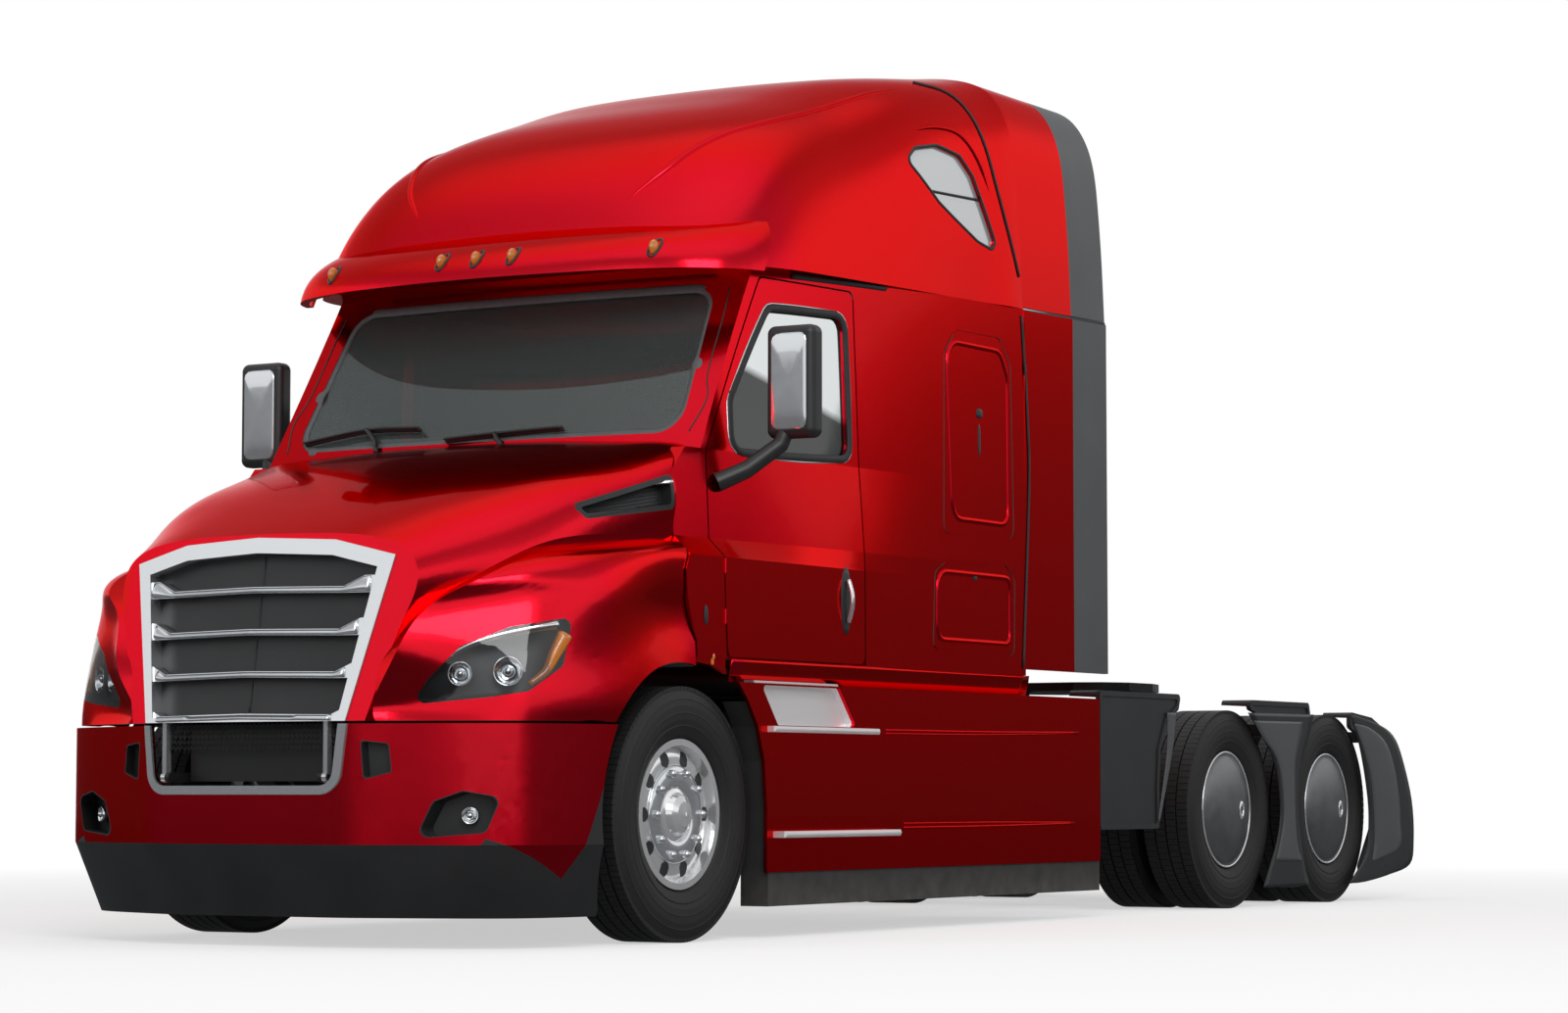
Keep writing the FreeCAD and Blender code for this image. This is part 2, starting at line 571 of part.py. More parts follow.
# Left wing, drawn as level outlines from the lamp round to the seam: share of the height from the bonnet's
# foot to the ridge, share by which the inner edge lies further back, then (back, out) shares of the bonnet's
# length and the body's half width
WING_RIDGE = 1592.0
WING_INSIDE = 420.0
WING_LEVEL_SHARES = (
    (0.0, 0.05, ((0.045, 0.490), (0.099, 0.583), (0.172, 0.759), (0.248, 0.883), (0.418, 0.971),
                 (1.06, 0.996))),
    (0.25, 0.05, ((0.045, 0.530), (0.112, 0.620), (0.196, 0.776), (0.272, 0.886), (0.440, 0.971),
                  (1.06, 0.996))),
    (0.374, 0.07, ((0.060, 0.563), (0.134, 0.661), (0.224, 0.804), (0.313, 0.906), (0.485, 0.975),
                   (1.06, 0.996))),
    (0.586, 0.15, ((0.128, 0.620), (0.224, 0.759), (0.313, 0.873), (0.418, 0.951), (0.567, 0.983),
                   (1.06, 0.994))),
    (0.723, 0.22, ((0.207, 0.735), (0.276, 0.824), (0.366, 0.906), (0.470, 0.959), (0.634, 0.983),
                   (1.06, 0.993))),
    (0.812, 0.26, ((0.299, 0.784), (0.351, 0.865), (0.440, 0.927), (0.545, 0.963), (0.709, 0.980),
                   (1.06, 0.991))),
    (0.901, 0.28, ((0.448, 0.816), (0.500, 0.882), (0.582, 0.931), (0.672, 0.959), (0.806, 0.976),
                   (1.06, 0.988))),
    (0.956, 0.22, ((0.634, 0.833), (0.687, 0.890), (0.754, 0.931), (0.821, 0.955), (0.903, 0.967),
                   (1.06, 0.978))),
    (1.0, 0.10, ((0.836, 0.849), (0.858, 0.882), (0.888, 0.906), (0.918, 0.922), (0.955, 0.935),
                 (1.06, 0.943))),
)

# Grille, seen from the front, and the leaning, bowed surface that it lies in
GRILLE_TOP = 1575.0
GRILLE_SIDE_SHARES = ((0.0, 0.773), (0.885, 1.0), (0.975, 0.58), (1.0, 0.0))
GRILLE_HALF_WIDTH = 628.0
GRILLE_FRAME = 60.0
GRILLE_DEPTH = 60.0
GRILLE_LIP = 8.0
NOSE_LEAN = 112.0
NOSE_BOW = 60.0
NOSE_BOW_SHARE = 0.25
NOSE_HALF = 680.0
BAR_COUNT = 4
BAR_DEPTH = 44.0
# One bar: half outline of its height, (share of the half width, share of the bar pitch)
BAR_SHARES = ((1.0, 0.0), (1.0, 0.40), (0.80, 0.40), (0.66, 0.15), (0.0, 0.19), (0.0, 0.05), (0.66, 0.0))
SHUTTER_DEPTH = 12.0
SHUTTER_RECESS = 52.0

# Tilt hinge of the bonnet and the arms that hang on it
HOOD_PIVOT_BACK = 35.0
HOOD_PIVOT_HEIGHT = 650.0
HOOD_PIN_RADIUS = 12.0
HOOD_PIN_BOSS = 20.0
HOOD_ARM_PLACE = 382.0
HOOD_ARM_WIDTH = 20.0

# Wheel arch
ARCH_RADIUS = 600.0
ARCH_AHEAD = 33.0
ARCH_HEIGHT = 506.0
LINER_THICKNESS = 5.0
LINER_WIDTH = 420.0
LINER_SETBACK = 30.0

# Air intake behind the bonnet's shoulder, seen from the side
INTAKE = [(792.0, 1710.0), (850.0, 1657.0), (1330.0, 1722.0), (1330.0, 1866.0)]
INTAKE_CORNER = 22.0
INTAKE_FRAME = 20.0
INTAKE_DEPTH = 45.0
INTAKE_LAYER = 5.0

# Head lamp, seen from the front corner: (along, up)
LAMP_OUTLINE = [(594.0, 922.0), (669.0, 1032.0), (777.0, 1143.0), (961.0, 1218.0), (1213.0, 1259.0),
                (1169.0, 1071.0),
                (1028.0, 973.0), (882.0, 950.0)]
LAMP_CORNER = 30.0
LAMP_DEPTH = 70.0


def nose_body(inset, foot):
    """Everything behind the leaning, bowed surface of the grille."""
    sections = []
    for up in (foot, HOOD_CREST + OVERRUN):
        front = NOSE_LEAN * (up - HOOD_BOTTOM) / (GRILLE_TOP - HOOD_BOTTOM) + inset
        half = [at(front, 0, up), at(front + NOSE_BOW * NOSE_BOW_SHARE, NOSE_HALF / 2, up),
                at(front + NOSE_BOW, NOSE_HALF, up)]
        whole = mirror_points(half)
        side = BODY_HALF_WIDTH + OVERRUN
        corners = [whole[-1], at(front + OVERRUN, side, up), at(HOOD_REAR + OVERRUN, side, up),
                   at(HOOD_REAR + OVERRUN, -side, up), at(front + OVERRUN, -side, up), whole[0]]
        edges = [spline(whole)] + [line(a, b) for a, b in zip(corners, corners[1:])]
        sections.append(Part.Wire(edges))
    return loft(sections, True)


def hood_middle(inset, foot):
    """Middle of the bonnet, from the grille to the windscreen."""
    sections = []
    rise = HOOD_CREST - HOOD_BOTTOM
    for place, crown, shoulder, shoulder_up, flank, flank_up, foot_half in HOOD_STATION_SHARES:
        back = place * HOOD_REAR
        top = HOOD_BOTTOM + crown * rise - inset
        half = shoulder * BODY_HALF_WIDTH - inset
        fall = (crown - shoulder_up) * rise
        points = [at(back, out * half, top - drop * fall) for out, drop in HOOD_ARCH_SHARES]
        points.append(at(back, flank * BODY_HALF_WIDTH - inset, HOOD_BOTTOM + flank_up * rise))
        whole = mirror_points(points)
        low = foot_half * BODY_HALF_WIDTH - inset
        left, right = at(back, low, foot), at(back, -low, foot)
        sections.append(Part.Wire([spline(whole), line(whole[-1], left), line(left, right),
                                   line(right, whole[0])]))
    return loft(sections).common(nose_body(inset, foot))


def wing_body(inset, foot):
    """Left wing: a bulge from the lamp to the rear of the wheel arch."""
    sections = []
    for number, (rise, valley, outline) in enumerate(WING_LEVEL_SHARES):
        up = HOOD_BOTTOM + rise * (WING_RIDGE - HOOD_BOTTOM) - inset * rise
        up = foot if number == 0 else up
        points = [at(back * HOOD_REAR + inset, out * BODY_HALF_WIDTH - inset, up) for back, out in outline]
        rear, first = points[-1], points[0]
        inner = [at(-rear.x, WING_INSIDE, up), at(-first.x + valley * HOOD_REAR, WING_INSIDE, up)]
        sections.append(Part.Wire([spline(points), line(rear, inner[0]), line(inner[0], inner[1]),
                                   line(inner[1], first)]))
    return loft(sections)


def ahead_of_seam(shape):
    """What is left of a shape ahead of the seam and of the foot of the windscreen."""
    side = BODY_HALF_WIDTH + OVERRUN
    low = HOOD_BOTTOM - OVERRUN
    outline = [(SEAM[0][0], low)] + SEAM + [(CHEEK_REAR * 2, SEAM[-1][1]), (CHEEK_REAR * 2, low)]
    return shape.cut(side_plate(outline, -side, side)).cut(windscreen_body(-PANEL_GAP, DECK_HEIGHT))


def grille_outline():
    """Outline of the grille from the front, narrower at the foot, with a raised middle at the head."""
    rise = GRILLE_TOP - HOOD_BOTTOM
    half = [(out * GRILLE_HALF_WIDTH, HOOD_BOTTOM + up * rise) for up, out in GRILLE_SIDE_SHARES]
    return half + [(-out, up) for out, up in reversed(half[:-1])]


def nose_layer(near, far):
    """Slice parallel to the leaning face of the grille."""
    return nose_body(near, HOOD_BOTTOM - OVERRUN / 4).cut(nose_body(far, HOOD_BOTTOM - OVERRUN / 2))


def make_hinge_arm():
    """Arm that hangs the left foot of the bonnet on its tilt hinge."""
    far = HOOD_ARM_PLACE + HOOD_ARM_WIDTH
    arm = box(HOOD_PIVOT_BACK - HOOD_PIN_BOSS * CORNER_REACH_SHARE, HOOD_PIVOT_BACK + HOOD_PIN_BOSS,
              HOOD_ARM_PLACE, far,
              HOOD_PIVOT_HEIGHT, HOOD_BOTTOM + GRILLE_FRAME / 3)
    boss = across(HOOD_PIVOT_BACK, HOOD_ARM_PLACE, far, HOOD_PIVOT_HEIGHT, HOOD_PIN_BOSS)
    bore = across(HOOD_PIVOT_BACK, HOOD_ARM_PLACE - HOOD_ARM_WIDTH, far + HOOD_ARM_WIDTH, HOOD_PIVOT_HEIGHT,
                  HOOD_PIN_RADIUS + RUNNING_CLEARANCE)
    return arm.fuse(boss).cut(bore)


def make_grille():
    """Bright surround with its bars and hinge arms, and the dark shutters behind the bars."""
    outline = grille_outline()
    inside = grown(outline, -GRILLE_FRAME)
    inside[0] = (inside[0][0], HOOD_BOTTOM - GRILLE_FRAME)
    inside[-1] = (inside[-1][0], HOOD_BOTTOM - GRILLE_FRAME)
    opening = front_plate(inside, -OVERRUN, OVERRUN)
    sill = HOOD_BOTTOM + GRILLE_FRAME / 3
    foot = box(-OVERRUN, OVERRUN, -GRILLE_HALF_WIDTH, GRILLE_HALF_WIDTH, HOOD_BOTTOM, sill)
    frame = front_plate(outline, -OVERRUN, OVERRUN)
    frame = frame.cut(opening).fuse(foot.common(frame))
    frame = nose_layer(-GRILLE_LIP, GRILLE_DEPTH).common(frame)
    grille = joined(frame, *both_sides(make_hinge_arm()))
    pitch = (GRILLE_TOP - GRILLE_FRAME - HOOD_BOTTOM) / BAR_COUNT
    reach = grown(outline, -GRILLE_FRAME / 2)
    reach[0], reach[-1] = (reach[0][0], HOOD_BOTTOM), (reach[-1][0], HOOD_BOTTOM)
    layer = nose_layer(0, BAR_DEPTH).common(front_plate(reach, -OVERRUN, OVERRUN))
    for number in range(BAR_COUNT):
        half = [(out * GRILLE_HALF_WIDTH, HOOD_BOTTOM + (number + up) * pitch) for out, up in BAR_SHARES]
        left = front_plate(half, -OVERRUN, OVERRUN)
        grille = grille.fuse(layer.common(left.fuse(mirrored(left))))
    shutter = nose_layer(SHUTTER_RECESS, SHUTTER_RECESS + SHUTTER_DEPTH).common(front_plate(inside,
                                                                                -OVERRUN, OVERRUN))
    return grille, shutter.common(box(-OVERRUN, OVERRUN, -GRILLE_HALF_WIDTH, GRILLE_HALF_WIDTH, sill,
                                      GRILLE_TOP))


def make_hood():
    """One-piece tilting bonnet with its wings, lamps, air intakes and arch liners."""
    low = HOOD_BOTTOM - OVERRUN / 4
    far = BODY_HALF_WIDTH + OVERRUN
    arch_back = FRONT_AXLE - ARCH_AHEAD
    arch = across(arch_back, WING_INSIDE, far, ARCH_HEIGHT, ARCH_RADIUS)
    intake = side_plate(INTAKE, BODY_HALF_WIDTH * CORNER_REACH_SHARE, far, INTAKE_CORNER)
    lamp_hole = corner_plate(LAMP_OUTLINE, 0, far, LAMP_CORNER)
    solid_middle, solid_wing = hood_middle(0, HOOD_BOTTOM), wing_body(0, HOOD_BOTTOM)
    inner_middle, inner_wing = hood_middle(HOOD_WALL, low), wing_body(HOOD_WALL, low)

    middle = solid_middle.cut(inner_middle).cut(inner_wing).cut(mirrored(inner_wing))
    window = front_plate(grille_outline(), -OVERRUN, OVERRUN)
    middle = ahead_of_seam(middle).cut(window)
    for hole in (intake, arch, lamp_hole):
        middle = middle.cut(hole).cut(mirrored(hole))
    wing = ahead_of_seam(solid_wing.cut(inner_wing).cut(inner_middle)).cut(window).cut(arch).cut(lamp_hole)
    shell = middle.fuse(wing).fuse(mirrored(wing))

    lamp = solid_wing.fuse(solid_middle).common(lamp_hole)
    lamp = lamp.cut(wing_body(LAMP_DEPTH, low)).cut(hood_middle(LAMP_DEPTH, low))
    mouth = side_plate(grown(INTAKE, -INTAKE_FRAME), BODY_HALF_WIDTH * CORNER_REACH_SHARE, far, INTAKE_CORNER)
    frame = solid_middle.cut(hood_middle(INTAKE_DEPTH, low)).common(intake.cut(mouth))
    mesh = hood_middle(INTAKE_DEPTH - INTAKE_LAYER, low).cut(hood_middle(INTAKE_DEPTH, low)).common(intake)
    rear = box(0, SEAM[-1][0], 0, far, 0, ROOF_TOP)
    intake_box = largest(ahead_of_seam(frame.fuse(mesh).common(rear)))

    liner = across(arch_back, BODY_HALF_WIDTH - LINER_WIDTH, BODY_HALF_WIDTH - LINER_SETBACK, ARCH_HEIGHT,
                   ARCH_RADIUS)
    liner = liner.cut(across(arch_back, 0, far, ARCH_HEIGHT, ARCH_RADIUS - LINER_THICKNESS))
    liner = liner.common(box(0, SEAM[0][0], 0, far, HOOD_BOTTOM, GRILLE_TOP))
    return largest(shell), largest(lamp), intake_box, liner


# Bumper in plan: (back, out) as shares of its depth and half width
BUMPER_TOP = 852.0
BUMPER_FOOT = 395.0
VALANCE_BOTTOM = 118.0
BUMPER_WALL = 10.0
BUMPER_DEPTH = 765.0
BUMPER_HALF_WIDTH = 1240.0
BUMPER_PLAN_SHARES = ((0.0, 0.0), (0.016, 0.20), (0.035, 0.37), (0.105, 0.49), (0.187, 0.62), (0.320, 0.80),
                      (0.420, 0.885), (0.62, 0.962), (1.0, 1.0))
VALANCE_TUCK = 110.0
VALANCE_TUCK_SHARE = 0.6
# Lower edge of the painted part, seen from the side
BUMPER_EDGE = [(504.0, 266.0), (240.0, 419.0), (230.0, 395.0)]
BUMPER_ARCH_GAP = 40.0
MOUTH_TOP_HALF = 505.0
MOUTH_FOOT_HALF = 430.0
MOUTH_FOOT = 618.0
MOUTH_CORNER = 60.0
MOUTH_FRAME = 34.0
MOUTH_FRAME_PROUD = 10.0
MESH_BACK = 130.0
MESH_THICKNESS = 12.0
MESH_HALF_WIDTH = 345.0
# Openings in the bumper's face, seen from the front: (out, up)
FOG_RECESS = [(735.0, 418.0), (985.0, 440.0), (1035.0, 575.0), (905.0, 600.0), (800.0, 560.0)]
FOG_CORNER = 30.0
FOG_DEPTH = 55.0
SLIT = [(548.0, 640.0), (652.0, 668.0), (640.0, 778.0), (536.0, 790.0)]
SLIT_CORNER = 12.0
SLIT_DEPTH = 30.0
POCKET_WALL = 4.0


def bumper_level(up, inset, tuck):
    """Level outline of the bumper; tuck draws the foot of the valance in."""
    points = []
    for back, out in BUMPER_PLAN_SHARES:
        place = back * BUMPER_DEPTH + inset + tuck * (1 - VALANCE_TUCK_SHARE * out)
        points.append(at(place, max(out * BUMPER_HALF_WIDTH - inset - tuck * out, 0), up))
    whole = mirror_points(points)
    rear = BUMPER_DEPTH + OVERRUN
    corners = [whole[-1], at(rear, whole[-1].y, up), at(rear, -whole[-1].y, up), whole[0]]
    return Part.Wire([spline(whole)] + [line(a, b) for a, b in zip(corners, corners[1:])])


def bumper_body(inset, low, high):
    """Bumper volume between two heights."""
    sections = []
    for up in (low, high):
        share = max(0.0, (BUMPER_FOOT - up) / (BUMPER_FOOT - VALANCE_BOTTOM))
        sections.append(bumper_level(up, inset, VALANCE_TUCK * share))
    return loft(sections, True)


def whole_bumper(inset):
    return bumper_body(inset, VALANCE_BOTTOM, BUMPER_FOOT).fuse(bumper_body(inset, BUMPER_FOOT, BUMPER_TOP))


def pocket(outline, radius, depth):
    """Recess let into the bumper's face: its walls and its floor."""
    well = front_plate(outline, 0, BUMPER_DEPTH, radius)
    room = front_plate(grown(outline, -POCKET_WALL), 0, BUMPER_DEPTH, radius)
    face, floor = bumper_body(0, BUMPER_FOOT, BUMPER_TOP), bumper_body(depth, BUMPER_FOOT, BUMPER_TOP)
    walls = face.cut(floor).common(well.cut(room))
    back = floor.cut(bumper_body(depth + POCKET_WALL, BUMPER_FOOT, BUMPER_TOP)).common(well)
    return walls.fuse(back), well


def make_bumper():
    """Painted bumper, the dark valance below it, its recesses and the lower grille."""
    skin = whole_bumper(0).cut(whole_bumper(BUMPER_WALL))
    high, side = BUMPER_TOP + OVERRUN, FAIRING_HALF_WIDTH
    outline = [(-OVERRUN, high), (BUMPER_DEPTH, high), (BUMPER_DEPTH, BUMPER_TOP)] + BUMPER_EDGE
    outline += [(-OVERRUN, BUMPER_FOOT)]
    painted = side_plate(outline, -side, side)
    tail = box(BUMPER_DEPTH, BUMPER_DEPTH + OVERRUN * 2, -side, side, 0, ROOF_TOP)
    wheel = across(FRONT_AXLE, -side, side, TYRE_RADIUS, ARCH_RADIUS + BUMPER_ARCH_GAP)
    bumper = skin.common(painted).cut(wheel)
    valance = skin.cut(painted).cut(tail).cut(wheel)
    mouth = [(MOUTH_FOOT_HALF, MOUTH_FOOT), (MOUTH_TOP_HALF, high), (-MOUTH_TOP_HALF, high),
             (-MOUTH_FOOT_HALF, MOUTH_FOOT)]
    mouth_cut = front_plate(mouth, -OVERRUN, OVERRUN, MOUTH_CORNER)
    band = front_plate(grown(mouth, MOUTH_FRAME), -OVERRUN, OVERRUN,
                       MOUTH_CORNER + MOUTH_FRAME).cut(mouth_cut)
    frame = bumper_body(-MOUTH_FRAME_PROUD, BUMPER_FOOT, BUMPER_TOP).cut(bumper_body(0, BUMPER_FOOT,
                                                                         BUMPER_TOP))
    frame = frame.common(band)
    bumper = bumper.cut(mouth_cut)
    pockets = []
    for outline, radius, depth in ((FOG_RECESS, FOG_CORNER, FOG_DEPTH), (SLIT, SLIT_CORNER, SLIT_DEPTH)):
        cup, well = pocket(outline, radius, depth)
        bumper = bumper.cut(well).cut(mirrored(well))
        pockets += both_sides(largest(cup))
    foot = MOUTH_FOOT + MOUTH_FRAME / 2
    mesh = box(MESH_BACK, MESH_BACK + MESH_THICKNESS, -MESH_HALF_WIDTH, MESH_HALF_WIDTH, foot, BUMPER_TOP)
    return bumper, valance, largest(frame), mesh, pockets


# Wheels and tyres
TYRE_RADIUS = 506.0
TYRE_WIDTH = 278.0
RIM_RADIUS = 286.0
RIM_FLANGE_RADIUS = 298.0
RIM_WIDTH = 222.0
RIM_WALL = 14.0
RIM_DROP = 10.0
BEAD_SHARE = 0.36
# Side wall from the rim to the tread: (share of the tyre's radius, share of its width from the middle)
TYRE_SHARES = ((0.63, -0.42), (0.73, -0.49), (0.84, -0.5), (0.95, -0.455), (0.985, -0.42), (1.0, -0.36))
GROOVE_SHARES = (-0.215, -0.072, 0.072, 0.215)
TREAD_GROOVE_WIDTH = 9.0
TREAD_GROOVE_DEPTH = 13.0
FRONT_WHEEL_PLANE = 1068.0
HAND_HOLES = 10
HAND_HOLE_RADIUS = 27.0
HAND_HOLE_CIRCLE = 203.0
SPINDLE_RADIUS = 38.0
# Front disc: (radius, distance outwards from the disc's seat)
# Front hub: (radius, distance from the wheel plane)
DISC_FACE = [(150.0, 34.0), (245.0, 26.0), (282.0, -18.0), (282.0, -34.0), (245.0, 10.0), (150.0, 16.0)]
DISC_SEAT = 49.0
DISC_FOOT = 20.0
HUB_PROFILE = [(112.0, -70.0), (112.0, 69.0), (117.0, 87.0), (86.0, 99.0), (74.0, 121.0), (50.0, 135.0),
               (0.0, 139.0)]
HUB_CAP_THICKNESS = 20.0


def tyre_ring(back, up, middle):
    """Tyre with a grooved tread, rounded shoulders and bulging walls."""
    bead = BEAD_SHARE * TYRE_WIDTH
    left = [(RIM_RADIUS, middle - bead), (RIM_FLANGE_RADIUS, middle - bead)]
    left += [(radius * TYRE_RADIUS, middle + out * TYRE_WIDTH) for radius, out in TYRE_SHARES]
    right = [(radius, 2 * middle - out) for radius, out in reversed(left)]
    tread = []
    for share in GROOVE_SHARES:
        place = middle + share * TYRE_WIDTH
        low, high = place - TREAD_GROOVE_WIDTH / 2, place + TREAD_GROOVE_WIDTH / 2
        floor = TYRE_RADIUS - TREAD_GROOVE_DEPTH
        tread += [(TYRE_RADIUS, low), (floor, low), (floor, high), (TYRE_RADIUS, high)]
    return turned(left + tread + right, back, up)


def rim_ring(back, up, middle):
    """Rim barrel with its two flanges, which hold the beads of the tyre."""
    half = RIM_WIDTH / 2
    bead = BEAD_SHARE * TYRE_WIDTH + FIT
    inner = RIM_RADIUS - RIM_WALL
    return turned([(RIM_RADIUS, middle - bead), (RIM_FLANGE_RADIUS, middle - bead),
                   (RIM_FLANGE_RADIUS, middle - half),
                   (inner, middle - half), (inner - RIM_DROP, middle), (inner, middle + half),
                   (RIM_FLANGE_RADIUS, middle + half), (RIM_FLANGE_RADIUS, middle + bead), (RIM_RADIUS,
                                                                                            middle + bead)],
                  back, up)


def make_front_wheel():
    """Left front tyre, and its rim with the disc, hand holes and hub."""
    back, up, middle = FRONT_AXLE, TYRE_RADIUS, FRONT_WHEEL_PLANE
    bore = SPINDLE_RADIUS + RUNNING_CLEARANCE
    seat = middle + DISC_SEAT
    face = [(radius, seat + out) for radius, out in DISC_FACE]
    disc = turned([(bore, seat)] + face + [(bore, seat - DISC_FOOT)], back, up)
    for number in range(HAND_HOLES):
        angle = math.tau * number / HAND_HOLES
        disc = disc.cut(across(back + HAND_HOLE_CIRCLE * math.cos(angle), seat - RIM_WIDTH / 2,
                               seat + RIM_WIDTH / 2,
                               up + HAND_HOLE_CIRCLE * math.sin(angle), HAND_HOLE_RADIUS))
    profile = [(radius, middle + out) for radius, out in HUB_PROFILE]
    cap = profile[-1][1] - HUB_CAP_THICKNESS
    hub = turned([(bore, profile[0][1])] + profile + [(0, cap), (bore, cap)], back, up)
    return tyre_ring(back, up, middle), rim_ring(back, up, middle).fuse(disc).fuse(hub).removeSplitter()


# Twin wheels. Disc between the rims, hub and cover:
# (radius, distance outwards from the middle or the outer face)
DUAL_OUTER_PLANE = 1082.0
DUAL_PITCH = 328.0
DRIVE_SPINDLE_RADIUS = 62.0
TWIN_DISC = [(122.0, 12.0), (182.0, 12.0), (281.0, 104.0), (281.0, 84.0), (182.0, -12.0), (281.0, -104.0),
             (281.0, -118.0), (162.0, -30.0), (122.0, -30.0)]
TWIN_HUB = [(142.0, -150.0), (142.0, 40.0), (92.0, 60.0), (92.0, 194.0), (0.0, 200.0), (0.0, 172.0)]
TWIN_HUB_SEAT = 170.0
COVER = [(276.0, -8.0), (276.0, 0.0), (250.0, 10.0), (206.0, 12.0), (192.0, 20.0), (96.0, 26.0), (84.0, 34.0),
         (0.0, 38.0), (0.0, 28.0), (84.0, 26.0), (96.0, 18.0), (192.0, 12.0), (206.0, 4.0), (250.0, 2.0)]
COVER_STUB_RADIUS = 60.0


def make_drive_wheels(axle):
    """Left twin tyres and their rims, hub and cover for one drive axle."""
    back, up = axle, TYRE_RADIUS
    outer, inner = DUAL_OUTER_PLANE, DUAL_OUTER_PLANE - DUAL_PITCH
    middle = (outer + inner) / 2
    bore = DRIVE_SPINDLE_RADIUS + RUNNING_CLEARANCE
    disc = turned([(radius, middle + out) for radius, out in TWIN_DISC], back, up)
    hub = [(bore, middle + TWIN_HUB[0][1])] + [(radius, middle + out) for radius, out in TWIN_HUB]
    hub = turned(hub + [(bore, middle + TWIN_HUB[-1][1])], back, up)
    face = outer + RIM_WIDTH / 2
    cover = turned([(radius, face + out) for radius, out in COVER], back, up)
    stub = across(back, middle + TWIN_HUB_SEAT + HUB_CAP_THICKNESS, face + COVER[-1][1], up,
                  COVER_STUB_RADIUS)
    rims = rim_ring(back, up, outer).fuse(rim_ring(back, up, inner)).fuse(disc)
    rims = rims.fuse(hub).fuse(cover).fuse(stub)
    return [tyre_ring(back, up, outer), tyre_ring(back, up, inner)], rims


# Steering knuckle and front axle beam
KINGPIN_OFFSET = 905.0
KINGPIN_RADIUS = 22.0
KINGPIN_BOSS_RADIUS = 52.0
KINGPIN_BOSS_HEIGHT = 110.0
KNUCKLE_EAR = 45.0
KNUCKLE_HALF_WIDTH = 48.0
KNUCKLE_WEB_OUT = 988.0
STEERING_ARM_LENGTH = 230.0
STEERING_ARM_WIDTH = 50.0
BEAM_HALF_WIDTH = 45.0
BEAM_DROP = 110.0
BEAM_HEIGHT = 100.0
BEAM_BEND = 562.0
SHOULDER_HEIGHT = 80.0
SPRING_HALF_LENGTH = 720.0
SPRING_WIDTH = 88.0
SPRING_THICKNESS = 56.0
SPRING_DROP = 60.0
HANGER_LENGTH = 80.0


def make_knuckle():
    """Left steering knuckle: two ears round the end of the beam, the kingpin, spindle and steering arm."""
    back, up = FRONT_AXLE, TYRE_RADIUS
    half = KINGPIN_BOSS_HEIGHT / 2
    high, low = up + half + KNUCKLE_EAR, up - half - KNUCKLE_EAR
    web_in = KINGPIN_OFFSET + KINGPIN_BOSS_RADIUS + PANEL_GAP
    wide = KNUCKLE_HALF_WIDTH
    pieces = [upright(back, KINGPIN_OFFSET, low, high, KINGPIN_RADIUS)]
    for start, end in ((up + half + FIT, high), (low, up - half - FIT)):
        pieces.append(upright(back, KINGPIN_OFFSET, start, end, KINGPIN_BOSS_RADIUS))
        pieces.append(box(back - wide, back + wide, KINGPIN_OFFSET, web_in + PANEL_GAP, start, end))
    pieces.append(box(back - wide, back + wide, web_in, KNUCKLE_WEB_OUT, low, high))
    spindle_end = FRONT_WHEEL_PLANE + RIM_WIDTH / 2 - PANEL_GAP
    pieces.append(across(back, KNUCKLE_WEB_OUT - PANEL_GAP, spindle_end, up, SPINDLE_RADIUS))
    arm_low, arm_high = low, up - half - KNUCKLE_EAR / 3
    pieces.append(box(back + wide, back + STEERING_ARM_LENGTH, KINGPIN_OFFSET - STEERING_ARM_WIDTH / 2,
                      KINGPIN_OFFSET + STEERING_ARM_WIDTH / 2, arm_low, arm_high))
    pieces.append(box(back, back + wide * 2, KINGPIN_OFFSET - STEERING_ARM_WIDTH / 2,
                      KINGPIN_OFFSET + STEERING_ARM_WIDTH / 2, arm_low, arm_high))
    return joined(*pieces)


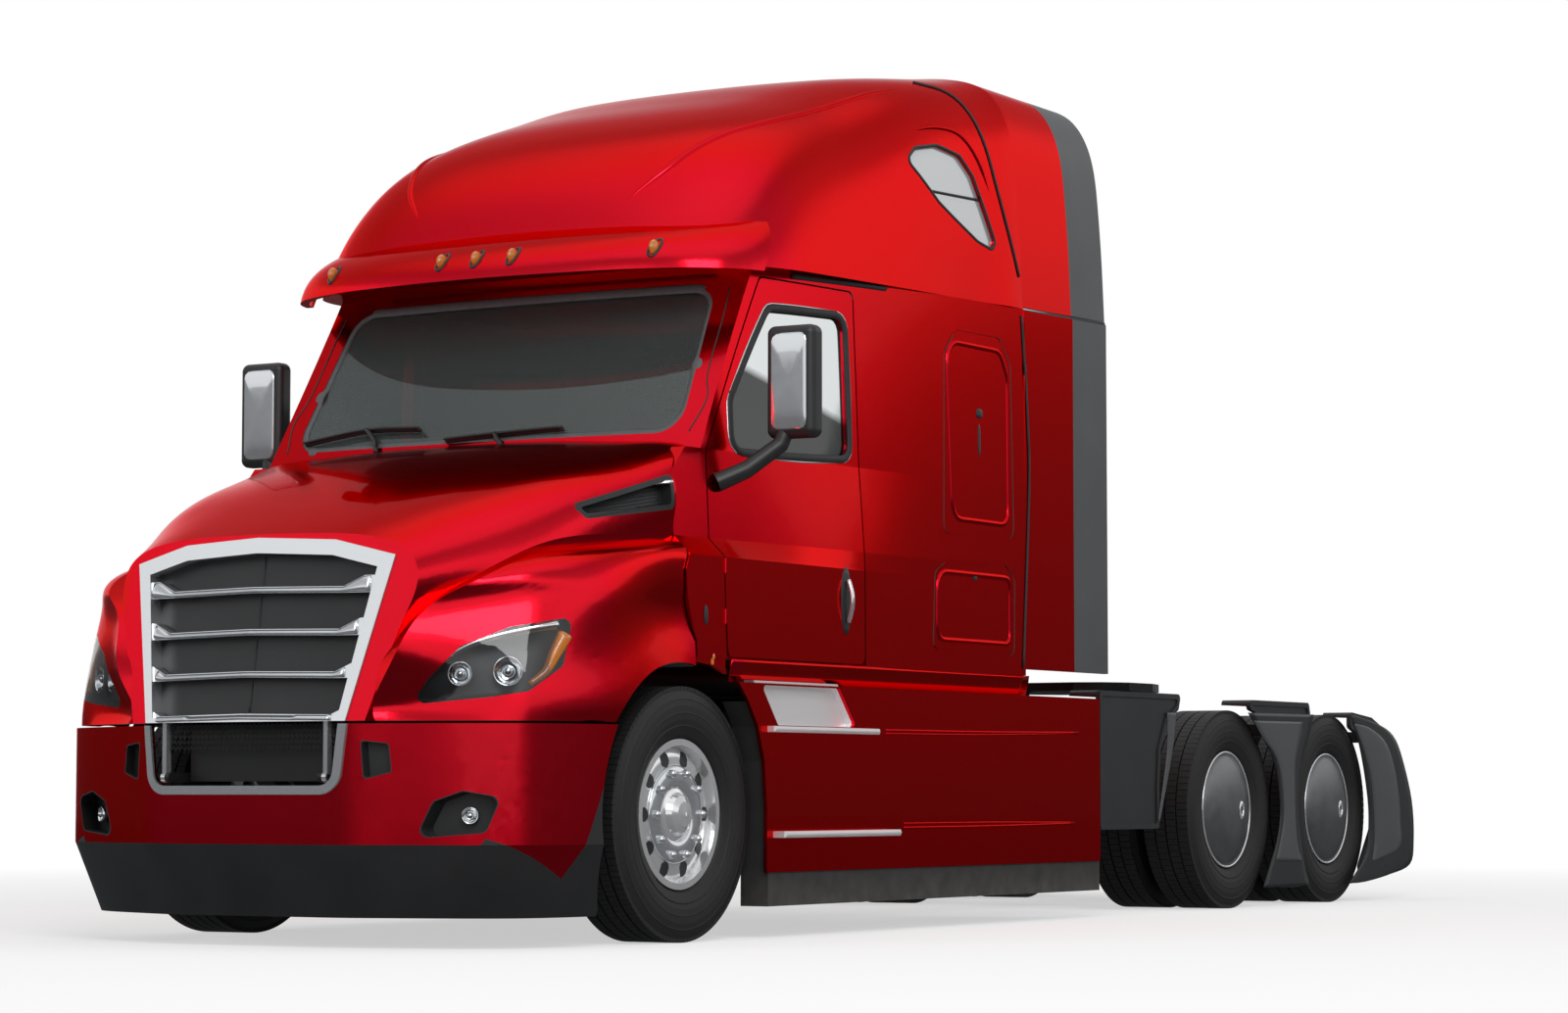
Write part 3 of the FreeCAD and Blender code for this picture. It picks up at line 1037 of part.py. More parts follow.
def make_front_axle():
    """Forged beam with a boss at each end, and the two leaf springs that it carries."""
    back, up = FRONT_AXLE, TYRE_RADIUS
    boss = upright(back, KINGPIN_OFFSET, up - KINGPIN_BOSS_HEIGHT / 2, up + KINGPIN_BOSS_HEIGHT / 2,
                   KINGPIN_BOSS_RADIUS)
    flat = KINGPIN_OFFSET - KINGPIN_BOSS_RADIUS - PANEL_GAP
    rise = SHOULDER_HEIGHT / 2
    seat = up - BEAM_DROP + BEAM_HEIGHT / 2
    half = [(KINGPIN_OFFSET, up + rise), (KINGPIN_OFFSET, up - rise), (flat, up - rise),
            (BEAM_BEND, seat - BEAM_HEIGHT)]
    outline = half + [(-out, z) for out, z in reversed(half)] + [(-BEAM_BEND, seat), (BEAM_BEND, seat)]
    beam = front_plate(outline, back - BEAM_HALF_WIDTH, back + BEAM_HALF_WIDTH)
    beam = joined(beam, *both_sides(boss))
    bore = upright(back, KINGPIN_OFFSET, 0, up * 2, KINGPIN_RADIUS + RUNNING_CLEARANCE)
    beam = beam.cut(bore).cut(mirrored(bore))
    rail_foot = RAIL_TOP - RAIL_HEIGHT
    middle = RAIL_HALF_WIDTH - RAIL_FLANGE / 2
    out = middle - SPRING_WIDTH / 2
    ends = rail_foot - SPRING_DROP
    lower = [at(back - SPRING_HALF_LENGTH, out, ends), at(back, out, seat),
             at(back + SPRING_HALF_LENGTH, out, ends)]
    upper = [p + V(0, 0, SPRING_THICKNESS) for p in lower]
    wire = Part.Wire([Part.Arc(*lower).toShape(), line(lower[2], upper[2]),
                      Part.Arc(*reversed(upper)).toShape(),
                      line(upper[0], lower[0])])
    spring = Part.Face(wire).extrude(V(0, SPRING_WIDTH, 0))
    for place in (back - SPRING_HALF_LENGTH, back + SPRING_HALF_LENGTH):
        hanger = box(place - HANGER_LENGTH / 2, place + HANGER_LENGTH / 2, out, out + SPRING_WIDTH, ends,
                     rail_foot)
        spring = spring.fuse(hanger)
    return beam.fuse(spring).fuse(mirrored(spring)).removeSplitter()


# Chassis frame
RAIL_TOP = 1016.0
RAIL_HEIGHT = 270.0
RAIL_HALF_WIDTH = 432.0
RAIL_FLANGE = 85.0
RAIL_THICKNESS = 9.0
RAIL_FRONT = 260.0
RAIL_REAR = 8700.0
CROSSMEMBER_HEIGHT = 200.0
CROSSMEMBER_LENGTH = 90.0
CROSSMEMBER_PLACES = (300.0, 2300.0, 3400.0, 4500.0, 5600.0, 7113.0, 8600.0)
CAB_REST_PLACES = (2000.0, 4000.0)
BRACKET_SIZE = 60.0
BUMPER_ARM_HEIGHT = 470.0
HINGE_BRACKET_GAP = 4.0
HINGE_BRACKET_WIDTH = 16.0
ENGINE_MOUNT_PLACE = 1000.0


def make_chassis():
    """Two channel rails with crossmembers, cab rests, bumper arms and the bonnet's hinge brackets."""
    foot = RAIL_TOP - RAIL_HEIGHT
    inner, outer = RAIL_HALF_WIDTH - RAIL_FLANGE, RAIL_HALF_WIDTH
    channel = [(inner, foot), (outer, foot), (outer, RAIL_TOP), (inner, RAIL_TOP),
               (inner, RAIL_TOP - RAIL_THICKNESS),
               (outer - RAIL_THICKNESS, RAIL_TOP - RAIL_THICKNESS), (outer - RAIL_THICKNESS,
                                                                     foot + RAIL_THICKNESS),
               (inner, foot + RAIL_THICKNESS)]
    rail = front_plate(channel, RAIL_FRONT, RAIL_REAR)
    frame = rail.fuse(mirrored(rail))
    web = outer - RAIL_THICKNESS / 2
    middle = RAIL_TOP - RAIL_HEIGHT / 2
    low, high = middle - CROSSMEMBER_HEIGHT / 2, middle + CROSSMEMBER_HEIGHT / 2
    for place in CROSSMEMBER_PLACES:
        member = box(place, place + CROSSMEMBER_LENGTH, -web, web, low, high)
        hollow = box(place + RAIL_THICKNESS, place + CROSSMEMBER_LENGTH, -inner, inner, low + RAIL_THICKNESS,
                     high - RAIL_THICKNESS)
        frame = frame.fuse(member.cut(hollow))
    for place in CAB_REST_PLACES:
        frame = frame.fuse(box(place, place + BRACKET_SIZE * 2, inner, outer, RAIL_TOP, CAB_FLOOR))
        frame = frame.fuse(box(place, place + BRACKET_SIZE * 2, -outer, -inner, RAIL_TOP, CAB_FLOOR))
    front, rear = RAIL_FRONT + BRACKET_SIZE, RAIL_FRONT + BRACKET_SIZE * 2
    drop = box(front, rear, inner, outer, BUMPER_ARM_HEIGHT, foot)
    reach = box(0, rear, inner, outer, BUMPER_ARM_HEIGHT, BUMPER_ARM_HEIGHT + BRACKET_SIZE)
    reach = reach.common(bumper_body(BUMPER_WALL + FIT, BUMPER_FOOT, BUMPER_TOP))
    hinge_out = HOOD_ARM_PLACE - HINGE_BRACKET_GAP
    hinge_in = hinge_out - HINGE_BRACKET_WIDTH
    low, high = HOOD_PIVOT_HEIGHT - HOOD_PIN_BOSS, HOOD_PIVOT_HEIGHT + HOOD_PIN_BOSS
    hinge = box(HOOD_PIVOT_BACK, front, hinge_in, hinge_out, low, high)
    post = box(RAIL_FRONT, front, hinge_in, hinge_out, low, foot)
    eye = across(HOOD_PIVOT_BACK, hinge_in, hinge_out, HOOD_PIVOT_HEIGHT, HOOD_PIN_BOSS)
    pin = across(HOOD_PIVOT_BACK, hinge_in, HOOD_ARM_PLACE + HOOD_ARM_WIDTH, HOOD_PIVOT_HEIGHT,
                 HOOD_PIN_RADIUS)
    mount = box(ENGINE_MOUNT_PLACE, ENGINE_MOUNT_PLACE + BRACKET_SIZE, ENGINE_HALF_WIDTH, web,
                RAIL_TOP - RAIL_FLANGE * 2, RAIL_TOP - RAIL_FLANGE)
    mesh_stay = box(MESH_BACK + MESH_THICKNESS, RAIL_FRONT + BRACKET_SIZE, inner - BRACKET_SIZE, inner, foot,
                    foot + BRACKET_SIZE)
    mesh_foot = box(RAIL_FRONT, RAIL_FRONT + BRACKET_SIZE, inner - BRACKET_SIZE, outer, foot,
                    foot + BRACKET_SIZE)
    for piece in (drop, reach, hinge, post, eye, pin, mount, mesh_stay, mesh_foot):
        frame = frame.fuse(piece).fuse(mirrored(piece))
    return frame


# Brackets outside the rails: (place, level of the foot)
FAIRING_BRACKETS = ((2600.0, 940.0), (4740.0, 940.0))
WING_BRACKETS = ((5300.0, 940.0), (7128.0, 890.0), (8430.0, 868.0))
TANK_BRACKETS = (3350.0, 4450.0)
TANK_RADIUS = 300.0
TANK_PLACE = 800.0
TANK_LEVEL = 620.0
TANK_LENGTH = 1500.0
TANK_REAR = 4700.0


def make_brackets():
    """Arms and cradles outside the rails that carry the tanks, the side panels and the valance."""
    pieces = []
    for place in TANK_BRACKETS:
        bracket = box(place, place + BRACKET_SIZE, RAIL_HALF_WIDTH, TANK_PLACE,
                      TANK_LEVEL - TANK_RADIUS - RAIL_THICKNESS * 2, RAIL_TOP - RAIL_FLANGE)
        cradle = rod(at(place - BRACKET_SIZE, TANK_PLACE, TANK_LEVEL),
                     at(place + BRACKET_SIZE * 2, TANK_PLACE, TANK_LEVEL),
                     TANK_RADIUS + FIT)
        pieces.append(bracket.cut(cradle))
    reach = FAIRING_HALF_WIDTH - FAIRING_WALL
    for places, end in ((FAIRING_BRACKETS, reach), (WING_BRACKETS, reach - WING_RIB_PROUD)):
        for place, level in places:
            pieces.append(box(place, place + BRACKET_SIZE, RAIL_HALF_WIDTH, end, level, level + BRACKET_SIZE))
    return both_sides(*pieces)


def make_tank():
    """Left fuel tank with two straps and a filler neck."""
    axis = [at(TANK_REAR, TANK_PLACE, TANK_LEVEL), at(TANK_REAR - TANK_LENGTH, TANK_PLACE, TANK_LEVEL)]
    tank = rod(axis[0], axis[1], TANK_RADIUS)
    neck = rod(at(TANK_REAR - TANK_LENGTH / 3, TANK_PLACE, TANK_LEVEL),
               at(TANK_REAR - TANK_LENGTH / 3, TANK_PLACE + TANK_RADIUS,
                  TANK_LEVEL + TANK_RADIUS), BRACKET_SIZE)
    return tank.fuse(neck)


# Drive axles and their suspension
AXLE_TUBE_RADIUS = 78.0
AXLE_BOWL_RADIUS = 205.0
AXLE_HUB_INSIDE = 768.0
AXLE_SHAFT_END = 1068.0
SHAFT_RADIUS = 55.0
PINION_LENGTH = 330.0
SHAFT_LEVEL = 640.0
ARM_AHEAD = 430.0
ARM_BEHIND = 420.0
ARM_WIDTH = 80.0
ARM_THICKNESS = 60.0
AIR_BAG_PLACE = 310.0
AIR_BAG_RADIUS = 112.0
AIR_BAG_WAIST_SHARE = 0.82


def make_drive_axles():
    """Two drive axles with their final-drive bowls, and the shafts that drive them."""
    pieces = []
    up = TYRE_RADIUS
    for axle in (FIRST_DRIVE_AXLE, SECOND_DRIVE_AXLE):
        tube_end = AXLE_HUB_INSIDE - PANEL_GAP
        tube = across(axle, -tube_end, tube_end, up, AXLE_TUBE_RADIUS)
        shaft = across(axle, -AXLE_SHAFT_END, AXLE_SHAFT_END, up, DRIVE_SPINDLE_RADIUS)
        bowl = Part.makeSphere(AXLE_BOWL_RADIUS, at(axle, 0, up))
        pinion = rod(at(axle, 0, up), at(axle - PINION_LENGTH, 0, up), AXLE_BOWL_RADIUS / 2, AXLE_TUBE_RADIUS)
        pieces.append(joined(tube, shaft, bowl, pinion))
    first = rod(at(ENGINE_REAR, 0, SHAFT_LEVEL), at(FIRST_DRIVE_AXLE - PINION_LENGTH, 0, up), SHAFT_RADIUS)
    second = rod(at(FIRST_DRIVE_AXLE, 0, up), at(SECOND_DRIVE_AXLE - PINION_LENGTH, 0, up), SHAFT_RADIUS)
    first_axle = joined(pieces[0], first, second).cut(box(0, ENGINE_REAR, -BRACKET_SIZE, BRACKET_SIZE, 0,
                                                          ENGINE_TOP))
    return [first_axle, pieces[1].cut(first_axle)]


def make_suspension():
    """Trailing arms under the drive axles with an air bag behind each."""
    pieces = []
    rail_foot = RAIL_TOP - RAIL_HEIGHT
    middle = RAIL_HALF_WIDTH - RAIL_FLANGE / 2
    low, high = middle - ARM_WIDTH / 2, middle + ARM_WIDTH / 2
    seat = TYRE_RADIUS - AXLE_TUBE_RADIUS
    for axle in (FIRST_DRIVE_AXLE, SECOND_DRIVE_AXLE):
        outline = [(axle - ARM_AHEAD, seat), (axle - ARM_AHEAD, seat - ARM_THICKNESS),
                   (axle + ARM_BEHIND, seat - ARM_THICKNESS),
                   (axle + ARM_BEHIND, seat)]
        arm = side_plate(outline, low, high)
        hanger = side_plate([(axle - ARM_AHEAD, seat - ARM_THICKNESS),
                             (axle - ARM_AHEAD - ARM_WIDTH, rail_foot),
                             (axle - ARM_AHEAD + ARM_WIDTH * 2, rail_foot), (axle - ARM_AHEAD + ARM_WIDTH,
                                                                             seat - ARM_THICKNESS)],
                            low, high)
        place = axle + AIR_BAG_PLACE
        waist = (seat + rail_foot) / 2
        lower = rod(at(place, middle, seat), at(place, middle, waist), AIR_BAG_RADIUS,
                    AIR_BAG_RADIUS * AIR_BAG_WAIST_SHARE)
        upper = rod(at(place, middle, waist), at(place, middle, rail_foot),
                    AIR_BAG_RADIUS * AIR_BAG_WAIST_SHARE,
                    AIR_BAG_RADIUS)
        pieces.append(joined(arm, hanger, lower, upper))
    return both_sides(*pieces)


# Fifth wheel: the coupling plate in plan, as (share of the length behind its front, share of its half width)
KINGPIN_PLACE = 7080.0
PLATE_TOP = 1176.0
PLATE_THICKNESS = 44.0
PLATE_WIDTH = 914.0
PLATE_LENGTH = 860.0
PLATE_FRONT_SHARE = 0.45
PLATE_SHARES = ((0.0, 0.50), (0.07, 0.80), (0.24, 1.0), (0.58, 1.0), (0.78, 0.90), (1.0, 0.60))
THROAT_SHARE = 0.33
KINGPIN_JAW_RADIUS = 25.4
JAW_LENGTH = 140.0
TRUNNION_RADIUS = 28.0
TRUNNION_DROP = 60.0
TRUNNION_ENDS = (217.0, 397.0)
SADDLE_WIDTH = 70.0
CHEEK_WIDTH = 50.0
CHEEK_GAP = 10.0
BASE_THICKNESS = 16.0
BASE_HALF_LENGTH = 330.0


def make_fifth_wheel():
    """Coupling plate that rocks on two trunnions, and its stand on the rails."""
    front = KINGPIN_PLACE - PLATE_LENGTH * PLATE_FRONT_SHARE
    half = PLATE_WIDTH / 2
    left = [(front + place * PLATE_LENGTH, out * half) for place, out in PLATE_SHARES]
    rear = left[-1][0]
    jaw_end = KINGPIN_PLACE + JAW_LENGTH - TRUNNION_RADIUS / 2
    slot = [(rear, THROAT_SHARE * half), (jaw_end, KINGPIN_JAW_RADIUS)]
    outline = left + slot
    outline += [(back, -out) for back, out in reversed(outline)]
    low = PLATE_TOP - PLATE_THICKNESS
    plate_solid = plate([at(back, out, low) for back, out in outline], V(0, 0, PLATE_THICKNESS))
    high = PLATE_TOP + PLATE_THICKNESS
    throat = box(KINGPIN_PLACE, KINGPIN_PLACE + JAW_LENGTH, -KINGPIN_JAW_RADIUS, KINGPIN_JAW_RADIUS,
                 low - PLATE_THICKNESS, high)
    jaw = upright(KINGPIN_PLACE, 0, low - PLATE_THICKNESS, high, KINGPIN_JAW_RADIUS)
    plate_solid = plate_solid.cut(throat).cut(jaw)
    axis = low - TRUNNION_DROP
    start, end = TRUNNION_ENDS
    saddle_out = end - CHEEK_WIDTH - CHEEK_GAP
    saddle = box(KINGPIN_PLACE - SADDLE_WIDTH, KINGPIN_PLACE + SADDLE_WIDTH, saddle_out - SADDLE_WIDTH,
                 saddle_out, axis, low)
    pin = across(KINGPIN_PLACE, start, end, axis, TRUNNION_RADIUS)
    plate_solid = joined(plate_solid, *both_sides(saddle, pin))
    cheek_low = RAIL_TOP + BASE_THICKNESS
    outline = [(KINGPIN_PLACE - SADDLE_WIDTH * 2, cheek_low), (KINGPIN_PLACE + SADDLE_WIDTH * 2, cheek_low),
               (KINGPIN_PLACE + SADDLE_WIDTH, axis + TRUNNION_RADIUS), (KINGPIN_PLACE - SADDLE_WIDTH,
                                                                        axis + TRUNNION_RADIUS)]
    cheek = side_plate(outline, end - CHEEK_WIDTH, end)
    bore = across(KINGPIN_PLACE, end - CHEEK_WIDTH * 2, end + CHEEK_WIDTH, axis,
                  TRUNNION_RADIUS + RUNNING_CLEARANCE)
    cheek = cheek.cut(bore)
    base = box(KINGPIN_PLACE - BASE_HALF_LENGTH, KINGPIN_PLACE + BASE_HALF_LENGTH, -end, end, RAIL_TOP,
               cheek_low)
    return plate_solid, joined(base, *both_sides(cheek))


# Painted fairings along the frame, seen from the side
FAIRING_TOP = 1036.0
FAIRING_FOOT = 268.0
SKIRT_BOTTOM = 130.0
FAIRING_REAR = 4880.0
FAIRING_WALL = 16.0
FAIRING_FRONT = [(1810.0, 268.0), (1812.0, 520.0), (1792.0, 720.0), (1742.0, 860.0), (1668.0, 960.0),
                 (1590.0, 1036.0)]
FLANGE_SETBACK = 18.0
FLANGE_THICKNESS = 22.0
FLANGE_WIDTH = 120.0
LEDGE_WIDTH = 150.0
SKIRT_SETBACK = 6.0
STEP_WELL = [(1768.0, 1028.0), (1900.0, 866.0), (2548.0, 866.0), (2404.0, 1028.0)]
STEP_WELL_CORNER = 16.0
KICK_PLATE_SETBACK = 45.0
UPPER_STEP = (1815.0, 2690.0, 838.0, 862.0, 40.0)
LOWER_STEP = (1860.0, 2835.0, 408.0, 434.0, 62.0)
STEP_CORNER = 10.0


def make_side_fairing():
    """Left painted side fairing, its rubber skirt with the arch flange, and the steps and kick plate."""
    out, inside = FAIRING_HALF_WIDTH, FAIRING_HALF_WIDTH - FAIRING_WALL
    outline = FAIRING_FRONT + [(FAIRING_REAR, FAIRING_TOP), (FAIRING_REAR, FAIRING_FOOT)]
    panel = side_plate(outline, inside, out)
    well = side_plate(STEP_WELL, inside - OVERRUN, out + OVERRUN, STEP_WELL_CORNER)
    panel = panel.cut(well)
    ledge = box(STEP_WELL[2][0], FAIRING_REAR, inside - LEDGE_WIDTH, inside, FAIRING_TOP - FAIRING_WALL,
                FAIRING_TOP)
    panel = panel.fuse(ledge)
    rim = [(back + FLANGE_SETBACK, up) for back, up in FAIRING_FRONT[:-1]]
    rim = [(rim[0][0], SKIRT_BOTTOM)] + rim
    flange = rim + [(back + FLANGE_THICKNESS, up) for back, up in reversed(rim)]
    flange = side_plate(flange, inside - FLANGE_WIDTH, inside)
    skirt = box(rim[0][0], FAIRING_REAR, inside, out - SKIRT_SETBACK, SKIRT_BOTTOM, FAIRING_FOOT)
    kick = side_plate(grown(STEP_WELL, FLANGE_SETBACK), inside - KICK_PLATE_SETBACK,
                      inside - KICK_PLATE_SETBACK + FAIRING_WALL)
    sides = side_plate(grown(STEP_WELL, FLANGE_SETBACK), inside - KICK_PLATE_SETBACK, inside).cut(
        side_plate(STEP_WELL, inside - OVERRUN, out, STEP_WELL_CORNER))
    steps = [kick.fuse(sides)]
    for front, rear, low, high, proud in (UPPER_STEP, LOWER_STEP):
        step = box(front, rear, out, out + proud, low, high)
        outer_edges = [edge for edge in step.Edges if edge.CenterOfMass.y > out + proud - FIT]
        step = step.makeChamfer(STEP_CORNER, outer_edges)
        steps.append(step)
    return panel, skirt.fuse(flange), steps


# Dark fairings ahead of, between and behind the drive wheels, seen from the side
FRONT_WING = [(4886.0, 1078.0), (5800.0, 1078.0), (5770.0, 1000.0), (5640.0, 940.0), (5560.0, 800.0),
              (5540.0, 620.0),
              (5540.0, 415.0), (4886.0, 415.0)]
MIDDLE_WING = [(6650.0, 1068.0), (7410.0, 1068.0), (7432.0, 1004.0), (7290.0, 880.0), (7235.0, 700.0),
               (7230.0, 480.0),
               (7300.0, 200.0), (7280.0, 96.0), (7050.0, 96.0), (7015.0, 200.0), (7085.0, 480.0), (7080.0,
                                                                                                   700.0),
               (7020.0, 860.0), (6880.0, 970.0), (6640.0, 1020.0)]
REAR_WING = [(7985.0, 1030.0), (8290.0, 1004.0), (8590.0, 905.0), (8790.0, 660.0), (8889.0, 425.0),
             (8866.0, 262.0),
             (8360.0, 132.0), (8150.0, 104.0), (8110.0, 190.0), (8290.0, 400.0), (8310.0, 600.0), (8240.0,
                                                                                                   800.0),
             (8130.0, 900.0), (7985.0, 945.0)]
WING_CORNER = 24.0
WING_RIB_WIDTH = 26.0
WING_RIB_PROUD = 8.0
WING_TURN_IN = 140.0


def make_wings():
    """Left dark fairings round the drive wheels, each with a raised rim and a turned-in top."""
    inside, out = FAIRING_HALF_WIDTH - FAIRING_WALL - WING_RIB_PROUD, FAIRING_HALF_WIDTH - WING_RIB_PROUD
    pieces = []
    for outline in (FRONT_WING, MIDDLE_WING, REAR_WING):
        panel = side_plate(outline, inside, out, WING_CORNER)
        rim = side_plate(outline, inside, out + WING_RIB_PROUD, WING_CORNER)
        rim = rim.cut(side_plate(grown(outline, -WING_RIB_WIDTH), inside, out + OVERRUN, WING_CORNER / 2))
        highest = max(up for back, up in outline)
        top = side_plate(outline, inside - WING_TURN_IN, inside + FIT, WING_CORNER)
        top = top.common(box(0, OVERALL_LENGTH, 0, out, highest - WING_RIB_WIDTH, highest))
        pieces.append(joined(panel, rim, top))
    return pieces


# Rear light bar
LIGHT_BAR = (8700.0, 8760.0, 700.0, 760.0, 900.0)
TAIL_LAMP_RADIUS = 52.0
TAIL_LAMP_DEPTH = 26.0
TAIL_LAMP_PLACES = (560.0, 690.0)


def make_tail():
    """Light bar across the frame's end, and its round lamps."""
    front, rear, half, low, high = LIGHT_BAR
    bar = box(front, rear, -half, half, low, high)
    lamps = []
    for out in TAIL_LAMP_PLACES:
        start = at(rear, out - TAIL_LAMP_RADIUS, (low + high) / 2)
        lamps += both_sides(rod(start, start - V(TAIL_LAMP_DEPTH, 0, 0), TAIL_LAMP_RADIUS))
    return bar, lamps


# Mirror on the door: foot plate seen from the side, arm from foot to head, and head
MIRROR_FOOT = [(1606.0, 1918.0), (1640.0, 1936.0), (1790.0, 1800.0), (1606.0, 1782.0)]
MIRROR_FOOT_CORNER = 14.0
MIRROR_FOOT_PROUD = 22.0
MIRROR_ARM = ((1650.0, 1125.0, 1850.0, 40.0), (1730.0, 1220.0, 1905.0, 36.0), (1830.0, 1320.0, 2010.0, 34.0),
              (1862.0, 1352.0, 2120.0, 32.0))
MIRROR_HEAD = (1812.0, 1912.0, 1256.0, 1484.0, 2036.0, 2500.0)
MIRROR_ROUND = 34.0


def make_mirror(door_skin):
    """Left mirror: a foot plate on the door, a swept arm and the head."""
    foot = side_plate(MIRROR_FOOT, BODY_HALF_WIDTH / 2, BODY_HALF_WIDTH, MIRROR_FOOT_CORNER)
    foot = foot.common(cab_flanks(-MIRROR_FOOT_PROUD, CAB_FLOOR)).cut(door_skin)
    arm = None
    for (back, out, up, radius), (next_back, next_out, next_up, next_radius) in zip(MIRROR_ARM,
                                                                                    MIRROR_ARM[1:]):
        end = at(next_back, next_out, next_up)
        length = rod(at(back, out, up), end, radius, next_radius).fuse(Part.makeSphere(next_radius, end))
        arm = length if arm is None else arm.fuse(length)
    arm = arm.cut(door_skin)
    head = box(*MIRROR_HEAD)
    head = head.makeFillet(MIRROR_ROUND, head.Edges)
    return largest(joined(largest(foot), arm, head))


# Inside the cab
DASH = (1400.0, 1850.0, 1690.0, 1945.0)
WHEEL_RING = (2040.0, 540.0, 1830.0, 225.0, 16.0)
COLUMN_START = (1800.0, 540.0, 1700.0)
COLUMN_RADIUS = 28.0
SPOKE_HALF_WIDTH = 18.0
SPOKE_THICKNESS = 12.0
SEAT_OUT = 540.0
SEAT_SHARES = ((0.0, 0.0), (0.0, 0.36), (0.06, 0.42), (0.74, 0.40), (0.80, 0.92), (0.84, 1.0),
               (0.94, 1.0), (1.0, 0.34),
               (0.96, 0.0))
SEAT_SPAN = (2160.0, 2720.0, 1300.0)
SEAT_HALF_WIDTH = 245.0
BUNK_FRONT = 3300.0
BUNK_TOP = 1760.0
BUNK_HALF_WIDTH = 1080.0


def make_interior(cab):
    """Dash, steering wheel, seats and bunk seen through the glass."""
    floor = CAB_FLOOR + FLOOR_THICKNESS
    front, rear, low, high = DASH
    dash = box(front, rear, -BODY_HALF_WIDTH, BODY_HALF_WIDTH, low, high).common(cab_inner(CAB_WALL + FIT))
    door_room = box(0, OVERALL_LENGTH, BODY_HALF_WIDTH * BELT_SHARES[1] - CAB_WALL - PANEL_GAP * 2,
                    BODY_HALF_WIDTH, 0, ROOF_TOP)
    dash = largest(dash.cut(door_room).cut(mirrored(door_room)).cut(cab))
    back, out, up, ring, wire = WHEEL_RING
    start = at(*COLUMN_START)
    centre = at(back, out, up)
    axis = centre - start
    wheel = Part.makeTorus(ring, wire, centre, axis)
    column = rod(start, centre, COLUMN_RADIUS)
    spokes = Part.makeBox(ring * 2, SPOKE_HALF_WIDTH * 2, SPOKE_THICKNESS,
                          V(-ring, -SPOKE_HALF_WIDTH, -SPOKE_THICKNESS / 2))
    cross = Part.makeBox(SPOKE_HALF_WIDTH * 2, ring, SPOKE_THICKNESS,
                         V(-SPOKE_HALF_WIDTH, -ring, -SPOKE_THICKNESS / 2))
    spokes = spokes.fuse(cross)
    spokes.Placement = FreeCAD.Placement(centre, FreeCAD.Rotation(V(0, 0, 1), axis))
    tower = box(COLUMN_START[0] - COLUMN_RADIUS, COLUMN_START[0] + COLUMN_RADIUS, out - COLUMN_RADIUS,
                out + COLUMN_RADIUS, low,
                high)
    dash = joined(dash, tower, column, wheel, spokes)
    front, rear, head = SEAT_SPAN
    seats = []
    for side in (SEAT_OUT, -SEAT_OUT):
        outline = spread(SEAT_SHARES, front, rear, floor, floor + head)
        seats.append(side_plate(outline, side - SEAT_HALF_WIDTH, side + SEAT_HALF_WIDTH, WINDOW_CORNER / 2))
    bunk = box(BUNK_FRONT, SLEEPER_REAR - CAB_WALL, -BUNK_HALF_WIDTH, BUNK_HALF_WIDTH, floor, BUNK_TOP)
    return [dash] + seats + [bunk]


def main():
    os.makedirs("parts", exist_ok=True)
    cab, shell, door, pane, windshield = make_cab()
    save("cab_shell", [shell])
    for side, change in (("left", lambda shape: shape), ("right", mirrored)):
        save("door_" + side, [change(door)])
        save("door_glass_" + side, [change(pane)])
    roof, roof_shell, roof_pane = make_roof()
    save("roof_fairing", [roof_shell])
    save("cab_glass", [windshield] + both_sides(roof_pane))
    visor, lamps = make_visor(roof, cab)
    save("sun_visor", [visor])
    painted, dark = make_extenders()
    save("side_extenders", both_sides(*painted))
    save("extender_flaps", both_sides(*dark))

    hood, lamp, intake, liner = make_hood()
    grille, shutter = make_grille()
    save("hood_shell", [hood])
    save("grille", [grille])
    save("hood_trim", [shutter] + both_sides(intake, liner))
    save("headlamps", both_sides(lamp))
    bumper, valance, mouth_frame, mesh, pockets = make_bumper()
    save("bumper", [bumper])
    save("front_valance", [valance])
    save("lower_grille", [mouth_frame])
    save("bumper_trim", [mesh] + pockets)

    panel, skirt, steps = make_side_fairing()
    save("side_fairings", both_sides(panel))
    save("side_skirts", both_sides(skirt))
    save("entry_steps", both_sides(*steps))
    save("wheel_fairings", both_sides(*make_wings()))
    mirror = make_mirror(door)
    save("mirror_left", [mirror])
    save("mirror_right", [mirrored(mirror)])
    save("cab_interior", make_interior(shell))

    light_bar, tail_lamps = make_tail()
    save("chassis_frame", [make_chassis(), light_bar])
    save("small_lamps", lamps + tail_lamps)
    save("side_brackets", make_brackets())
    save("engine_block", [box(ENGINE_FRONT, ENGINE_REAR, -ENGINE_HALF_WIDTH, ENGINE_HALF_WIDTH,
                              ENGINE_BOTTOM, ENGINE_TOP)])
    save("front_axle", [make_front_axle()])
    save("drive_axles", make_drive_axles())
    save("rear_suspension", make_suspension())
    coupling, stand = make_fifth_wheel()
    save("fifth_wheel_plate", [coupling])
    save("fifth_wheel_mount", [stand])
    save("fuel_tanks", both_sides(make_tank()))

    knuckle = make_knuckle()
    tyre, rim = make_front_wheel()
    for side, change in (("left", lambda shape: shape), ("right", mirrored)):
        save("knuckle_" + side, [change(knuckle)])
        save("front_tyre_" + side, [change(tyre)])
        save("front_rim_" + side, [change(rim)])
    for number, axle in ((1, FIRST_DRIVE_AXLE), (2, SECOND_DRIVE_AXLE)):
        tyres, rims = make_drive_wheels(axle)
        for side, change in (("left", lambda shape: shape), ("right", mirrored)):
            save("drive_tyres_%d_%s" % (number, side), [change(shape) for shape in tyres])
            save("drive_rims_%d_%s" % (number, side), [change(rims)])


main()
